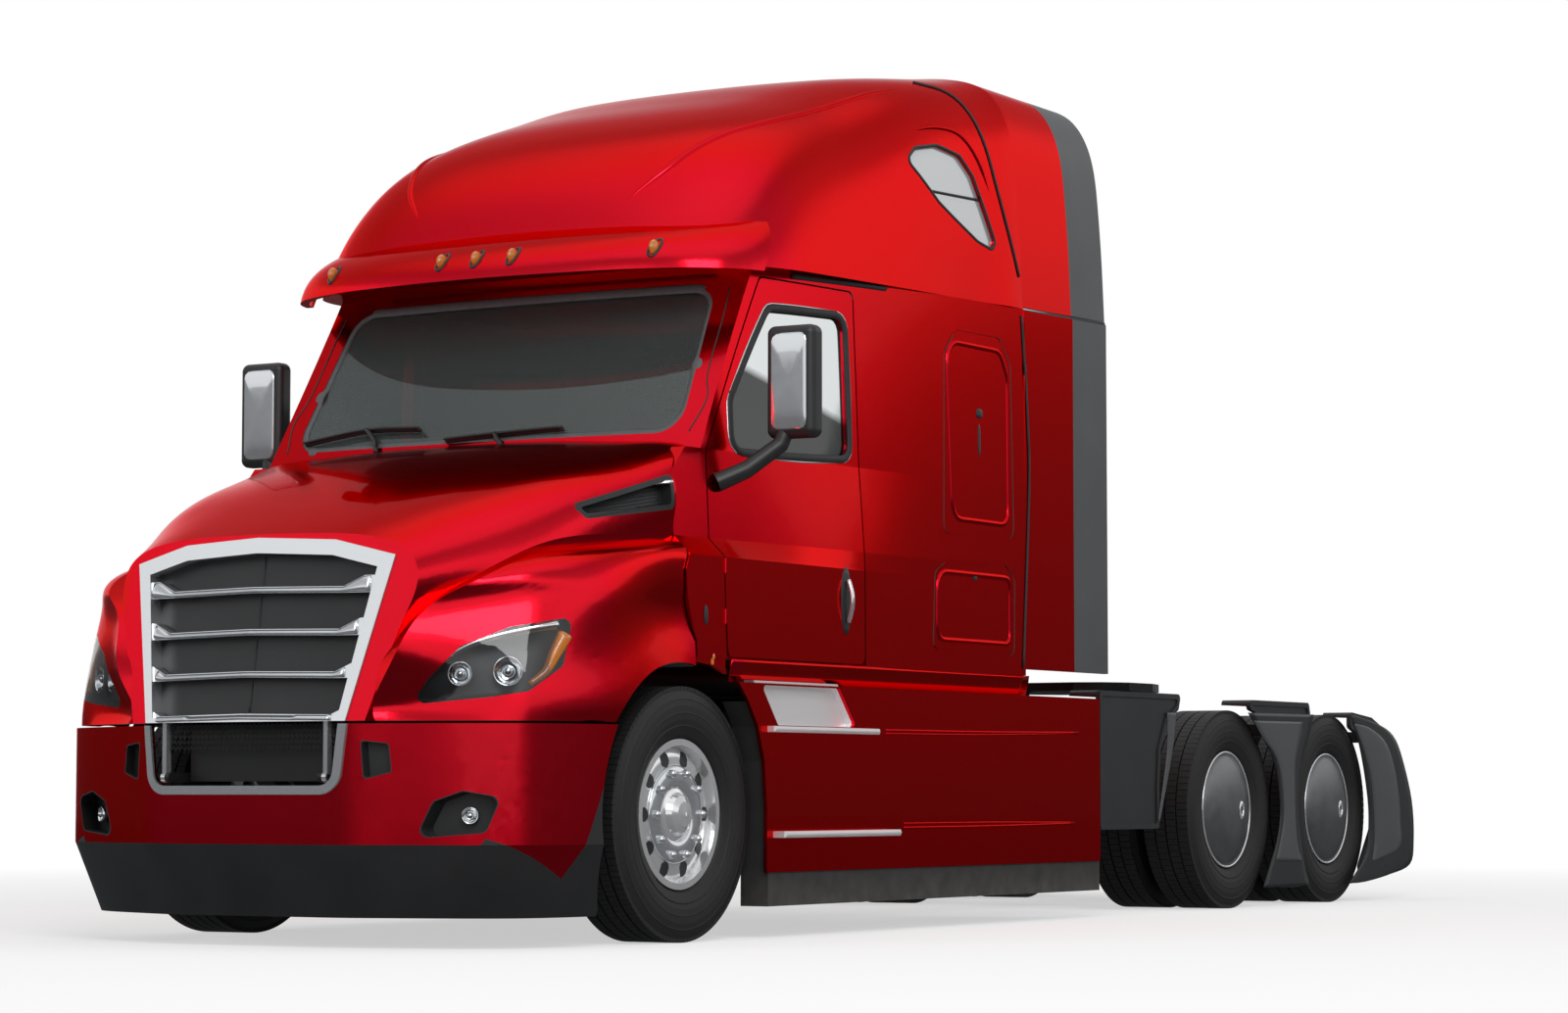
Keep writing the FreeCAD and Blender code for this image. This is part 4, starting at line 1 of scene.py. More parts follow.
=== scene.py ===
"""Looks of a bonneted tractor unit with a sleeper cab: finishes for its solids, and the small pieces on them."""
import math

import bmesh
import bpy
import numpy as np
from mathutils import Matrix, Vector
from mathutils.bvhtree import BVHTree


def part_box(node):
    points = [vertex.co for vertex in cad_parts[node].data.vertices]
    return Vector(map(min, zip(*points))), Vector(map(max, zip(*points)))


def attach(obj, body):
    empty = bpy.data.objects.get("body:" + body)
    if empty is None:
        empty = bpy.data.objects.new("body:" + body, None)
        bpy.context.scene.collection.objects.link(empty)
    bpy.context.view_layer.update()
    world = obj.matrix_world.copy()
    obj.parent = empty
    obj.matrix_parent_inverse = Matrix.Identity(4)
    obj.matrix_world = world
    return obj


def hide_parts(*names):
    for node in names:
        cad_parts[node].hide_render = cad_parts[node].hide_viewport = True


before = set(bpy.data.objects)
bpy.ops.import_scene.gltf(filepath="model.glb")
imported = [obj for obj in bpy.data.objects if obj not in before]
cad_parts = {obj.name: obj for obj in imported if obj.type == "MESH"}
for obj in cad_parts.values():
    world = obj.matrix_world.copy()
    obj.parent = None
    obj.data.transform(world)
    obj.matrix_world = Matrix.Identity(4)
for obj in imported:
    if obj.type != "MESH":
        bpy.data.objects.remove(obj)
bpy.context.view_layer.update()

# Camera: the photograph was taken from the truck's left front, at about headlamp height.
# The lens, the place and the turn come from the mirrored points of the cab, fitted to the picture.
photo_width = 1600.0
focal_pixels = 3891.134
optical_axis = (795.21, 529.04)
photo_centre = (800.0, 517.0)
camera_place = Vector((15.9418, 9.2761, 0.5936))
camera_turn = 0.5385
camera_rise = 0.0717
lens = bpy.data.cameras.new("studio_camera")
lens.sensor_width = 36.0
lens.lens = lens.sensor_width * focal_pixels / photo_width
lens.shift_x = (photo_centre[0] - optical_axis[0]) / photo_width
lens.shift_y = (optical_axis[1] - photo_centre[1]) / photo_width
lens.clip_end = 200.0
camera = bpy.data.objects.new("studio_camera", lens)
camera.location = camera_place
level_share = math.cos(camera_rise)
look = Vector((-math.cos(camera_turn) * level_share, -math.sin(camera_turn) * level_share, math.sin(camera_rise)))
camera.rotation_euler = look.to_track_quat("-Z", "Y").to_euler()
bpy.context.scene.collection.objects.link(camera)
bpy.context.scene.camera = camera
bpy.context.scene.view_settings.view_transform = "Standard"


def colour(code):
    """Linear red, green, blue and 1 for an sRGB hex code: each channel is turned by the sRGB curve."""
    channels = np.array([int(code[place:place + 2], 16) for place in (1, 3, 5)]) / 255.0
    channels = np.where(channels <= 0.04045, channels / 12.92, ((channels + 0.055) / 1.055) ** 2.4)
    return (*channels.tolist(), 1.0)


def add(tree, kind, inputs=None, **settings):
    """A new shader node with its settings. Each input is a socket to link, a node whose first output in use is
    linked, an sRGB hex code or another value."""
    node = tree.nodes.new("ShaderNode" + kind)
    for name, value in settings.items():
        setattr(node, name, value)
    for socket, value in (inputs or {}).items():
        if isinstance(value, bpy.types.Node):
            value = next(output for output in value.outputs if output.enabled)
        if isinstance(value, bpy.types.NodeSocket):
            tree.links.new(value, node.inputs[socket])
        else:
            node.inputs[socket].default_value = colour(value) if isinstance(value, str) else value
    return node


# Studio: a white room with a pale floor. Soft boxes hang above and to both sides; what polished parts reflect
# is the same room with a grey wall up to head height and a grey strip in its ceiling, so that paint and chrome
# have an edge to show.
room = bpy.data.worlds.new("white_room")
bpy.context.scene.world = room
room.use_nodes = True
tree = room.node_tree
tree.nodes.clear()
rays = add(tree, "LightPath").outputs
way = add(tree, "TexCoord").outputs["Generated"]
height = add(tree, "SeparateXYZ", {0: way}).outputs["Z"]
# In line with the picture's view, before and behind the truck, the white begins lower on the wall.
to_picture = (0.86, 0.51, 0.0)
in_line = add(tree, "VectorMath", {0: way, 1: to_picture}, operation="DOT_PRODUCT")
either_way = add(tree, "Math", {0: in_line}, operation="ABSOLUTE")
lift = add(tree, "MapRange", {"Value": either_way, "From Min": 0.80, "From Max": 0.97, "To Max": 0.15})
bands = add(tree, "ValToRGB", {0: add(tree, "Math", {0: height, 1: lift}, operation="ADD")})
ramp = bands.color_ramp
ramp.interpolation = "EASE"
band_greys = ((0.0, "#6A6C6E"), (0.115, "#7E8082"), (0.14, "#A4A6A8"), (0.155, "#F8F8F8"), (0.36, "#FFFFFF"),
              (0.50, "#C4C6C8"), (0.70, "#B4B6B8"), (0.86, "#F4F4F4"), (1.0, "#FFFFFF"))
for number, (place, code) in enumerate(band_greys):
    band = ramp.elements[number] if number < 2 else ramp.elements.new(place)
    band.position, band.color = place, colour(code)
lit = add(tree, "Background", {"Color": "#FFFFFF", "Strength": 0.24})
seen = add(tree, "Background", {"Color": "#FFFFFF", "Strength": 1.0})
mirrored_room = add(tree, "Background", {"Color": bands, "Strength": 1.0})
straight = add(tree, "Math", {0: rays["Is Camera Ray"], 1: rays["Is Transmission Ray"]}, operation="MAXIMUM")
for_mirrors = add(tree, "MixShader", {0: rays["Is Glossy Ray"], 1: lit, 2: mirrored_room})
add(tree, "OutputWorld", {"Surface": add(tree, "MixShader", {0: straight, 1: for_mirrors, 2: seen})})

soft_boxes = {
    "key_box": ((12.0, 9.0, 9.5), (0.0, 0.0, 1.4), 7.0, 760.0),
    "side_box": ((-3.0, 13.0, 6.0), (-1.5, 0.0, 1.8), 8.0, 380.0),
    "front_box": ((14.0, -7.0, 5.0), (3.5, 0.0, 1.5), 6.0, 300.0),
    "top_box": ((0.0, 0.0, 12.0), (0.0, 0.0, 0.0), 9.0, 420.0),
}
for name, (place, target, side, power) in soft_boxes.items():
    box = bpy.data.lights.new(name, "AREA")
    box.shape = "SQUARE"
    box.size = side
    box.energy = power
    holder = bpy.data.objects.new(name, box)
    holder.location = place
    holder.rotation_euler = (Vector(target) - Vector(place)).to_track_quat("-Z", "Y").to_euler()
    holder.visible_glossy = name == "key_box"
    bpy.context.scene.collection.objects.link(holder)


def new_material(name):
    """An empty node material, its tree, and the place on the piece that its patterns read."""
    material = bpy.data.materials.new(name)
    material.use_nodes = True
    tree = material.node_tree
    tree.nodes.clear()
    return material, tree, add(tree, "TexCoord").outputs["Object"]


def close_material(tree, kind, inputs):
    """A shader of this kind goes to the surface output."""
    add(tree, "OutputMaterial", {"Surface": add(tree, kind, inputs)})


reach = 60.0
floor_mesh = bpy.data.meshes.new("studio_floor")
floor_corners = [(-reach, -reach, 0), (reach, -reach, 0), (reach, reach, 0), (-reach, reach, 0)]
floor_mesh.from_pydata(floor_corners, [], [(0, 1, 2, 3)])
floor = bpy.data.objects.new("studio_floor", floor_mesh)
bpy.context.scene.collection.objects.link(floor)
# Painted concrete: it darkens under and beside the truck only, and fades into the white room 4 to 13 m away.
white_floor, tree, place = new_material("painted_studio_floor")
rays = add(tree, "LightPath").outputs
away = add(tree, "VectorMath", {0: place}, operation="LENGTH")
fade = add(tree, "MapRange", {"Value": away, "From Min": 4.0, "From Max": 13.0, "To Min": 0.55, "To Max": 1.0})
matt = add(tree, "BsdfDiffuse", {"Color": "#FDFDFD", "Roughness": 0.5})
glow = add(tree, "Emission", {"Color": "#FFFFFF", "Strength": 1.0})
shown = add(tree, "Math", {0: rays["Is Camera Ray"], 1: fade}, operation="MULTIPLY")
bare = add(tree, "MixShader", {0: shown, 1: matt, 2: glow})
# Polished parts see the floor as grey as the foot of the wall.
dim = add(tree, "Emission", {"Color": "#56585A", "Strength": 1.0})
close_material(tree, "MixShader", {0: rays["Is Glossy Ray"], 1: bare, 2: dim})
floor_mesh.materials.append(white_floor)


def wear(material, *nodes):
    """The CAD nodes show this material on all of their slots."""
    for node in nodes:
        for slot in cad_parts[node].material_slots:
            slot.material = material


# Body panels: sheet aluminium and moulded composite, sprayed with a candy red: clear red over fine aluminium
# flake, so it is bright where it mirrors the room's white and deep where it mirrors the floor. A thin clear coat
# lies on it.
red_paint, tree, place = new_material("sprayed_red_paint")
# Orange peel is about 8 mm from crest to crest; it is drawn at 60 mm so that it still shows at this distance.
peel = add(tree, "TexNoise", {0: place, "Scale": 16.0, "Detail": 2.0})
rise = add(tree, "Bump", {"Height": peel, "Strength": 0.03, "Distance": 0.004})
# Darker and a little duller towards the bottom, in patches, below the door sill.
height = add(tree, "SeparateXYZ", {0: place}).outputs["Z"]
lower_darkening = add(tree, "MapRange", {"Value": height, "From Min": 0.2, "From Max": 1.4, "To Min": 0.18, "To Max": 0.0})
cloud = add(tree, "TexNoise", {0: place, "Scale": 5.0, "Detail": 4.0})
patchy = add(tree, "Math", {0: lower_darkening, 1: cloud}, operation="MULTIPLY")
base = add(tree, "Mix", {0: patchy, 6: "#E20F26", 7: "#8C141C"}, data_type="RGBA")
dull = add(tree, "MapRange", {"Value": patchy, "To Min": 0.19, "To Max": 0.46})
close_material(tree, "BsdfPrincipled", {"Base Color": base, "Metallic": 1.0, "Roughness": dull,
                                        "Specular Tint": "#F2404E", "Coat Weight": 0.13, "Coat Roughness": 0.03,
                                        "Coat IOR": 1.5, "Normal": rise, "Coat Normal": rise})
wear(red_paint, "roof_fairing", "hood_shell", "sun_visor", "side_extenders", "side_fairings", "bumper", "door_left",
     "door_right")

# Cab shell: the same paint outside; inside, grey-brown trim panels. A face is within the cab when it looks
# towards the middle of the cab, so the way from that middle to the face runs against the face's normal. The faces
# in the door openings look that way too and take the grey, though they are red on the real cab: painted shade in the
# door joints.
cab_paint = red_paint.copy()
cab_paint.name = "painted_cab_with_trim_inside"
tree = cab_paint.node_tree
place = add(tree, "TexCoord").outputs["Object"]
facing = add(tree, "NewGeometry").outputs["True Normal"]
parts_of_place = add(tree, "SeparateXYZ", {0: place}).outputs
from_middle = add(tree, "VectorMath", {0: place, 1: (1.75, 0.0, 2.0)}, operation="SUBTRACT")
outwards = add(tree, "VectorMath", {0: from_middle, 1: facing}, operation="DOT_PRODUCT")
inside = add(tree, "Math", {0: outwards, 1: -0.02}, operation="LESS_THAN")
behind = add(tree, "Math", {0: parts_of_place["X"], 1: 3.02}, operation="LESS_THAN")
above = add(tree, "Math", {0: parts_of_place["Z"], 1: 1.135}, operation="GREATER_THAN")
for test in (behind, above):
    inside = add(tree, "Math", {0: inside, 1: test}, operation="MULTIPLY")
# The grey is the trim inside, and painted shade on the red faces of the door openings.
trim_and_joint_shade = add(tree, "BsdfPrincipled", {"Base Color": "#4B4A48", "Roughness": 0.75})
lined = add(tree, "MixShader", {0: inside, 1: tree.nodes["Principled BSDF"], 2: trim_and_joint_shade})
tree.links.new(lined.outputs[0], tree.nodes["Material Output"].inputs["Surface"])
wear(cab_paint, "cab_shell")

# Windscreen and roof windows: laminated and toughened float glass with a grey-green tint.
# It shows a dim cab behind a clear reflection of the room.
tinted_glass, tree, place = new_material("tinted_float_glass")
# Float glass is flat to a hair; a wave of 400 mm, barely there, keeps reflections from being ruler straight.
wave = add(tree, "TexNoise", {0: place, "Scale": 2.5, "Detail": 1.0})
ripple = add(tree, "Bump", {"Height": wave, "Strength": 0.02, "Distance": 0.01})
pane = add(tree, "BsdfPrincipled", {"Base Color": "#8D9A98", "Roughness": 0.02, "IOR": 1.5,
                                    "Transmission Weight": 0.83, "Normal": ripple})
# The two panes in the roof carry a silvered film.
silver = add(tree, "BsdfPrincipled", {"Base Color": "#C4C7C8", "Metallic": 0.5, "Roughness": 0.12, "Normal": ripple})
height = add(tree, "SeparateXYZ", {0: place}).outputs["Z"]
in_roof = add(tree, "Math", {0: height, 1: 2.95}, operation="GREATER_THAN")
close_material(tree, "MixShader", {0: in_roof, 1: pane, 2: silver})
wear(tinted_glass, "cab_glass")
# The door panes: a mirror layer, a painted reflection, thin below the shoulder line, which falls towards the rear,
# and strong above it.
door_glass, tree, place = new_material("toughened_door_glass")
pane = add(tree, "BsdfPrincipled", {"Base Color": "#2C3331", "Roughness": 0.02, "IOR": 1.5,
                                    "Transmission Weight": 0.9})
# Painted reflection: the mirror that the pane turns into above the line.
silver = add(tree, "BsdfPrincipled", {"Base Color": "#E6EAEA", "Metallic": 1.0, "Roughness": 0.03})
slant = add(tree, "VectorMath", {0: place, 1: (-0.25, 0.0, 1.0)}, operation="DOT_PRODUCT")
share = add(tree, "MapRange", {"Value": slant, "From Min": 1.70, "From Max": 1.74, "To Min": 0.03, "To Max": 0.95})
close_material(tree, "MixShader", {0: share, 1: pane, 2: silver})
wear(door_glass, "door_glass_left", "door_glass_right")

# Dash, seats and bunk: moulded soft-touch plastic and woven cloth, both dark grey.
# The weave of 3 mm threads is drawn at 12 mm, faintly, the least that shows through the glass.
cab_cloth, tree, place = new_material("woven_seat_cloth_and_trim")
weave = add(tree, "TexWave", {0: place, "Scale": 26.0, "Distortion": 1.5, "Detail": 2.0}, bands_direction="DIAGONAL")
blotch = add(tree, "TexNoise", {0: place, "Scale": 9.0, "Detail": 5.0})
tone = add(tree, "Mix", {0: blotch, 6: "#2E2E30", 7: "#46444A"}, data_type="RGBA")
threads = add(tree, "Bump", {"Height": weave, "Strength": 0.06, "Distance": 0.001})
close_material(tree, "BsdfPrincipled", {"Base Color": tone, "Roughness": 0.85, "Sheen Weight": 0.3,
                                        "Normal": threads})
wear(cab_cloth, "cab_interior")

# Extender flaps and the fairings' outer panels: rotation-moulded polyethylene in charcoal, with a fine leather
# grain of 1.5 mm that is drawn at 6 mm, clouded a little by handling.
grey_plastic, tree, place = new_material("grained_charcoal_polyethylene")
grain = add(tree, "TexVoronoi", {0: place, "Scale": 160.0})
soft = add(tree, "TexNoise", {0: place, "Scale": 3.0, "Detail": 4.0})
tone = add(tree, "Mix", {0: soft, 6: "#414345", 7: "#4F5153"}, data_type="RGBA")
pebbles = add(tree, "Bump", {"Height": grain, "Strength": 0.2, "Distance": 0.0008})
close_material(tree, "BsdfPrincipled", {"Base Color": tone, "Roughness": 0.46, "Normal": pebbles})
wear(grey_plastic, "extender_flaps")

# Valance, bumper pockets, shutters, arch liners, mirror housings: black polypropylene, injection moulded, satin.
black_plastic, tree, place = new_material("moulded_black_polypropylene")
grain = add(tree, "TexNoise", {0: place, "Scale": 260.0, "Detail": 3.0})
soft = add(tree, "TexNoise", {0: place, "Scale": 4.0, "Detail": 4.0})
tone = add(tree, "Mix", {0: soft, 6: "#191A1B", 7: "#2A2B2D"}, data_type="RGBA")
fine = add(tree, "Bump", {"Height": grain, "Strength": 0.15, "Distance": 0.0008})
close_material(tree, "BsdfPrincipled", {"Base Color": tone, "Roughness": 0.42, "Normal": fine})
wear(black_plastic, "front_valance", "bumper_trim", "hood_trim", "wheel_fairings", "mirror_left", "mirror_right")

# Side skirts: extruded EPDM rubber, dull, greyer with road dust towards the ground.
skirt_rubber, tree, place = new_material("dusty_epdm_rubber")
height = add(tree, "SeparateXYZ", {0: place}).outputs["Z"]
low = add(tree, "MapRange", {"Value": height, "From Min": 0.1, "From Max": 0.3, "To Min": 0.8, "To Max": 0.1})
cloud = add(tree, "TexNoise", {0: place, "Scale": 12.0, "Detail": 6.0})
dust = add(tree, "Math", {0: low, 1: cloud}, operation="MULTIPLY")
tone = add(tree, "Mix", {0: dust, 6: "#202122", 7: "#6A6762"}, data_type="RGBA")
close_material(tree, "BsdfPrincipled", {"Base Color": tone, "Roughness": 0.78})
wear(skirt_rubber, "side_skirts")

# Grille surround, bars and the frame of the lower mouth: chromium plate on moulded ABS, with a faint haze.
# Fingerprints and wiping marks some 30 mm across vary the gloss slightly.
chrome, tree, place = new_material("chromium_plate")
marks = add(tree, "TexNoise", {0: place, "Scale": 30.0, "Detail": 5.0})
gloss = add(tree, "MapRange", {"Value": marks, "To Min": 0.04, "To Max": 0.16})
close_material(tree, "BsdfPrincipled", {"Base Color": "#DCDFE2", "Metallic": 0.82, "Roughness": gloss})
wear(chrome, "grille", "lower_grille")

# Steps and kick plates: aluminium tread plate, brushed lengthways; 0.5 mm scratches are drawn at 4 mm.
step_metal, tree, place = new_material("brushed_aluminium_plate")
along = add(tree, "Mapping", {0: place, "Scale": (4.0, 250.0, 250.0)})
lines = add(tree, "TexNoise", {0: along, "Scale": 1.0, "Detail": 3.0})
gloss = add(tree, "MapRange", {"Value": lines, "To Min": 0.26, "To Max": 0.48})
scratch = add(tree, "Bump", {"Height": lines, "Strength": 0.08, "Distance": 0.0005})
close_material(tree, "BsdfPrincipled", {"Base Color": "#F0F1F2", "Metallic": 0.55, "Roughness": gloss,
                                        "Normal": scratch})
wear(step_metal, "entry_steps")

# Frame rails, axles, springs, brackets: hot-rolled steel with black chassis paint, a little dusty on top.
frame_black, tree, place = new_material("black_chassis_paint_on_steel")
cloud = add(tree, "TexNoise", {0: place, "Scale": 7.0, "Detail": 6.0})
upward = add(tree, "SeparateXYZ", {0: add(tree, "NewGeometry").outputs["Normal"]}).outputs["Z"]
settled = add(tree, "MapRange", {"Value": upward, "From Min": 0.4, "From Max": 1.0, "To Max": 0.55})
dust = add(tree, "Math", {0: settled, 1: cloud}, operation="MULTIPLY")
tone = add(tree, "Mix", {0: dust, 6: "#17181A", 7: "#57534D"}, data_type="RGBA")
gloss = add(tree, "MapRange", {"Value": cloud, "To Min": 0.38, "To Max": 0.75})
skin = add(tree, "TexNoise", {0: place, "Scale": 90.0, "Detail": 2.0})
lumps = add(tree, "Bump", {"Height": skin, "Strength": 0.12, "Distance": 0.001})
close_material(tree, "BsdfPrincipled", {"Base Color": tone, "Roughness": gloss, "Normal": lumps})
wear(frame_black, "chassis_frame", "side_brackets", "front_axle", "drive_axles", "rear_suspension",
     "fifth_wheel_mount", "knuckle_left", "knuckle_right")

# Engine and gearbox: sand-cast iron under grey enamel, lumpy at about 3 mm, drawn at 10 mm.
cast_iron, tree, place = new_material("enamelled_cast_iron")
sand = add(tree, "TexNoise", {0: place, "Scale": 100.0, "Detail": 4.0})
lumps = add(tree, "Bump", {"Height": sand, "Strength": 0.4, "Distance": 0.002})
tone = add(tree, "Mix", {0: sand, 6: "#54575A", 7: "#6A6D70"}, data_type="RGBA")
close_material(tree, "BsdfPrincipled", {"Base Color": tone, "Roughness": 0.55, "Normal": lumps})
wear(cast_iron, "engine_block")

# Coupling plate: cast steel, black, with a film of grease where the trailer's plate rubs it bright.
greased, tree, place = new_material("greased_cast_steel")
smear = add(tree, "TexNoise", {0: place, "Scale": 9.0, "Detail": 6.0, "Distortion": 1.5})
height = add(tree, "SeparateXYZ", {0: place}).outputs["Z"]
top = add(tree, "Math", {0: height, 1: 1.174}, operation="GREATER_THAN")
rubbed = add(tree, "Math", {0: top, 1: smear}, operation="MULTIPLY")
tone = add(tree, "Mix", {0: rubbed, 6: "#141312", 7: "#6E6A66"}, data_type="RGBA")
gloss = add(tree, "MapRange", {"Value": smear, "To Min": 0.18, "To Max": 0.6})
close_material(tree, "BsdfPrincipled", {"Base Color": tone, "Metallic": 0.6, "Roughness": gloss})
wear(greased, "fifth_wheel_plate")

# Front wheels: forged aluminium, machined and polished; the lathe leaves rings that catch the light.
nose, front_axle_back, hub_out, tyre_radius = 4.445, 1.290, 1.068, 0.506
polished, tree, place = new_material("polished_forged_aluminium")
axle_place = (nose - front_axle_back, 0.0, tyre_radius)
centred = add(tree, "VectorMath", {0: place, 1: axle_place}, operation="SUBTRACT")
flat_ring = add(tree, "VectorMath", {0: centred, 1: (1.0, 0.0, 1.0)}, operation="MULTIPLY")
reach = add(tree, "VectorMath", {0: flat_ring}, operation="LENGTH")
# Lathe rings of 1 mm are drawn 5 mm apart.
turned = add(tree, "Math", {0: reach, 1: 1256.0}, operation="MULTIPLY")
rings = add(tree, "Math", {0: turned}, operation="SINE")
lathe = add(tree, "Bump", {"Height": rings, "Strength": 0.05, "Distance": 0.0004})
marks = add(tree, "TexNoise", {0: place, "Scale": 25.0, "Detail": 5.0})
gloss = add(tree, "MapRange", {"Value": marks, "To Min": 0.07, "To Max": 0.22})
close_material(tree, "BsdfPrincipled", {"Base Color": "#F1F2F3", "Metallic": 0.72, "Roughness": gloss,
                                        "Normal": lathe})
wear(polished, "front_rim_left", "front_rim_right")

# Drive wheels and fuel tanks: steel discs under spun aluminium covers, and rolled and welded aluminium sheet,
# all in satin grey lacquer.
cover_grey, tree, place = new_material("satin_lacquered_aluminium")
marks = add(tree, "TexNoise", {0: place, "Scale": 14.0, "Detail": 6.0})
gloss = add(tree, "MapRange", {"Value": marks, "To Min": 0.25, "To Max": 0.5})
tone = add(tree, "Mix", {0: marks, 6: "#6B6E70", 7: "#8A8C8E"}, data_type="RGBA")
close_material(tree, "BsdfPrincipled", {"Base Color": tone, "Metallic": 0.85, "Roughness": gloss})
wear(cover_grey, "drive_rims_1_left", "drive_rims_1_right", "drive_rims_2_left", "drive_rims_2_right", "fuel_tanks")

# Roof marker lamps and tail lamps: moulded polycarbonate lenses, amber in front and red at the rear.
lens_plastic, tree, place = new_material("moulded_polycarbonate_lenses")
along = add(tree, "SeparateXYZ", {0: place}).outputs["X"]
rear = add(tree, "Math", {0: along, 1: 0.0}, operation="LESS_THAN")
tone = add(tree, "Mix", {0: rear, 6: "#E0862A", 7: "#A80C10"}, data_type="RGBA")
# Prisms of 5 mm inside the lens.
prisms = add(tree, "TexVoronoi", {0: place, "Scale": 190.0})
facets = add(tree, "Bump", {"Height": prisms, "Strength": 0.4, "Distance": 0.001})
close_material(tree, "BsdfPrincipled", {"Base Color": tone, "Roughness": 0.12, "IOR": 1.58,
                                        "Transmission Weight": 0.25, "Coat Weight": 0.6, "Coat Roughness": 0.05,
                                        "Normal": facets})
wear(lens_plastic, "small_lamps")


def ahead(points):
    """Places given as (behind the nose, out to the left, up) in metres, in the truck's frame."""
    return np.array(points, float) * (-1.0, 1.0, 1.0) + (nose, 0.0, 0.0)


def grid(rows, columns):
    """Four-cornered faces of a sheet of rows x columns points that closes on itself along its columns."""
    row, column = np.meshgrid(np.arange(rows - 1), np.arange(columns), indexing="ij")
    here = row * columns + column
    beside = row * columns + (column + 1) % columns
    return np.stack([here, beside, beside + columns, here + columns], -1).reshape(-1, 4)


def piece(name, shells, material, body, smooth=True):
    """A mesh from (points, faces) shells, with doubled points merged and the faces turned outwards."""
    start, points, faces = 0, [], []
    for shell_points, shell_faces in shells:
        points.append(np.asarray(shell_points, float).reshape(-1, 3))
        faces += (np.asarray(shell_faces) + start).tolist()
        start += len(points[-1])
    mesh = bpy.data.meshes.new(name)
    mesh.from_pydata(np.concatenate(points).tolist(), [], faces)
    work = bmesh.new()
    work.from_mesh(mesh)
    bmesh.ops.remove_doubles(work, verts=work.verts, dist=0.00002)
    bmesh.ops.recalc_face_normals(work, faces=work.faces)
    work.to_mesh(mesh)
    work.free()
    mesh.polygons.foreach_set("use_smooth", np.full(len(mesh.polygons), smooth))
    mesh.materials.append(material)
    made = bpy.data.objects.new(name, mesh)
    bpy.context.scene.collection.objects.link(made)
    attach(made, body)
    return made


def both(shells):
    """The shells and their mirror images on the right side."""
    return shells + [(np.asarray(points) * (1.0, -1.0, 1.0), faces) for points, faces in shells]


def smooth_line(points, count):
    """count points along a Catmull-Rom curve: each stretch is a cubic that leaves a point parallel to its
    neighbours' chord."""
    points = np.asarray(points, float)
    padded = np.concatenate([points[:1] * 2 - points[1:2], points, points[-1:] * 2 - points[-2:-1]])
    place = np.linspace(0, len(points) - 1, count)
    stretch = np.minimum(place.astype(int), len(points) - 2)
    t = (place - stretch)[:, None]
    p0, p1, p2, p3 = (padded[stretch + shift] for shift in range(4))
    return 0.5 * (2 * p1 + (p2 - p0) * t + (2 * p0 - 5 * p1 + 4 * p2 - p3) * t ** 2
                  + (3 * p1 - p0 - 3 * p2 + p3) * t ** 3)


def rounded_loop(corners, radius, per_corner=7):
    """Closed outline with arcs at its corners: each arc is tangent to both sides, its centre lies on the
    bisector."""
    corners = np.asarray(corners, float)
    to_last = np.roll(corners, 1, 0) - corners
    to_next = np.roll(corners, -1, 0) - corners
    to_last /= np.linalg.norm(to_last, axis=1)[:, None]
    to_next /= np.linalg.norm(to_next, axis=1)[:, None]
    half = np.arccos(np.clip((to_last * to_next).sum(1), -1, 1)) / 2
    start = corners + to_last * (radius / np.tan(half))[:, None]
    end = corners + to_next * (radius / np.tan(half))[:, None]
    lean = (to_last + to_next) / np.linalg.norm(to_last + to_next, axis=1)[:, None]
    centre = corners + lean * (radius / np.sin(half))[:, None]
    t = np.linspace(0, 1, per_corner)[None, :, None]
    spoke = start[:, None] * (1 - t) + end[:, None] * t - centre[:, None]
    arc = centre[:, None] + spoke / np.linalg.norm(spoke, axis=2)[..., None] * radius
    return arc.reshape(-1, 2)


def even(points, spacing):
    """The same closed line with points at an even spacing, found by its length along the way."""
    points = np.concatenate([points, points[:1]])
    way = np.concatenate([[0], np.cumsum(np.linalg.norm(np.diff(points, axis=0), axis=1))])
    place = np.linspace(0, way[-1], max(int(way[-1] / spacing), 4) + 1)[:-1]
    return np.stack([np.interp(place, way, points[:, axis]) for axis in range(points.shape[1])], -1)


def landing(nodes, starts, way):
    """Where straight lines from the starts, all in one direction, first meet the CAD nodes, and the way each
    surface faces there. A line that misses takes the nearest hit in the row."""
    trees = []
    for node in nodes:
        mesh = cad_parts[node].data
        trees.append(BVHTree.FromPolygons([tuple(vertex.co) for vertex in mesh.vertices],
                                          [tuple(face.vertices) for face in mesh.polygons]))
    way = Vector(way)
    hits = []
    for start in np.asarray(starts, float):
        found = [hit for hit in (tree.ray_cast(Vector(start), way) for tree in trees) if hit[0] is not None]
        if found:
            place, normal = min(found, key=lambda hit: hit[3])[:2]
            hits.append((*place, *(normal if normal.dot(way) < 0 else -normal)))
        else:
            hits.append(None)
    met = np.array([number for number, hit in enumerate(hits) if hit])
    rows = np.array([hits[met[np.argmin(np.abs(met - number))]] for number in range(len(hits))])
    return rows[:, :3], rows[:, 3:]


def from_side(nodes, line, side=1.0):
    """Where the (back, up) places of a line lie on the CAD nodes, seen from 2 m out at that side."""
    line = np.asarray(line, float)
    starts = ahead(np.column_stack([line[:, 0], np.full(len(line), 2.0), line[:, 1]]))
    return landing(nodes, starts * (1.0, side, 1.0), (0, -side, 0))


def from_front(nodes, line):
    """Where the (out, up) places of a line lie on the CAD nodes, seen from ahead of the truck."""
    return landing(nodes, np.column_stack([np.full(len(line), 6.0), line]), (-1, 0, 0))


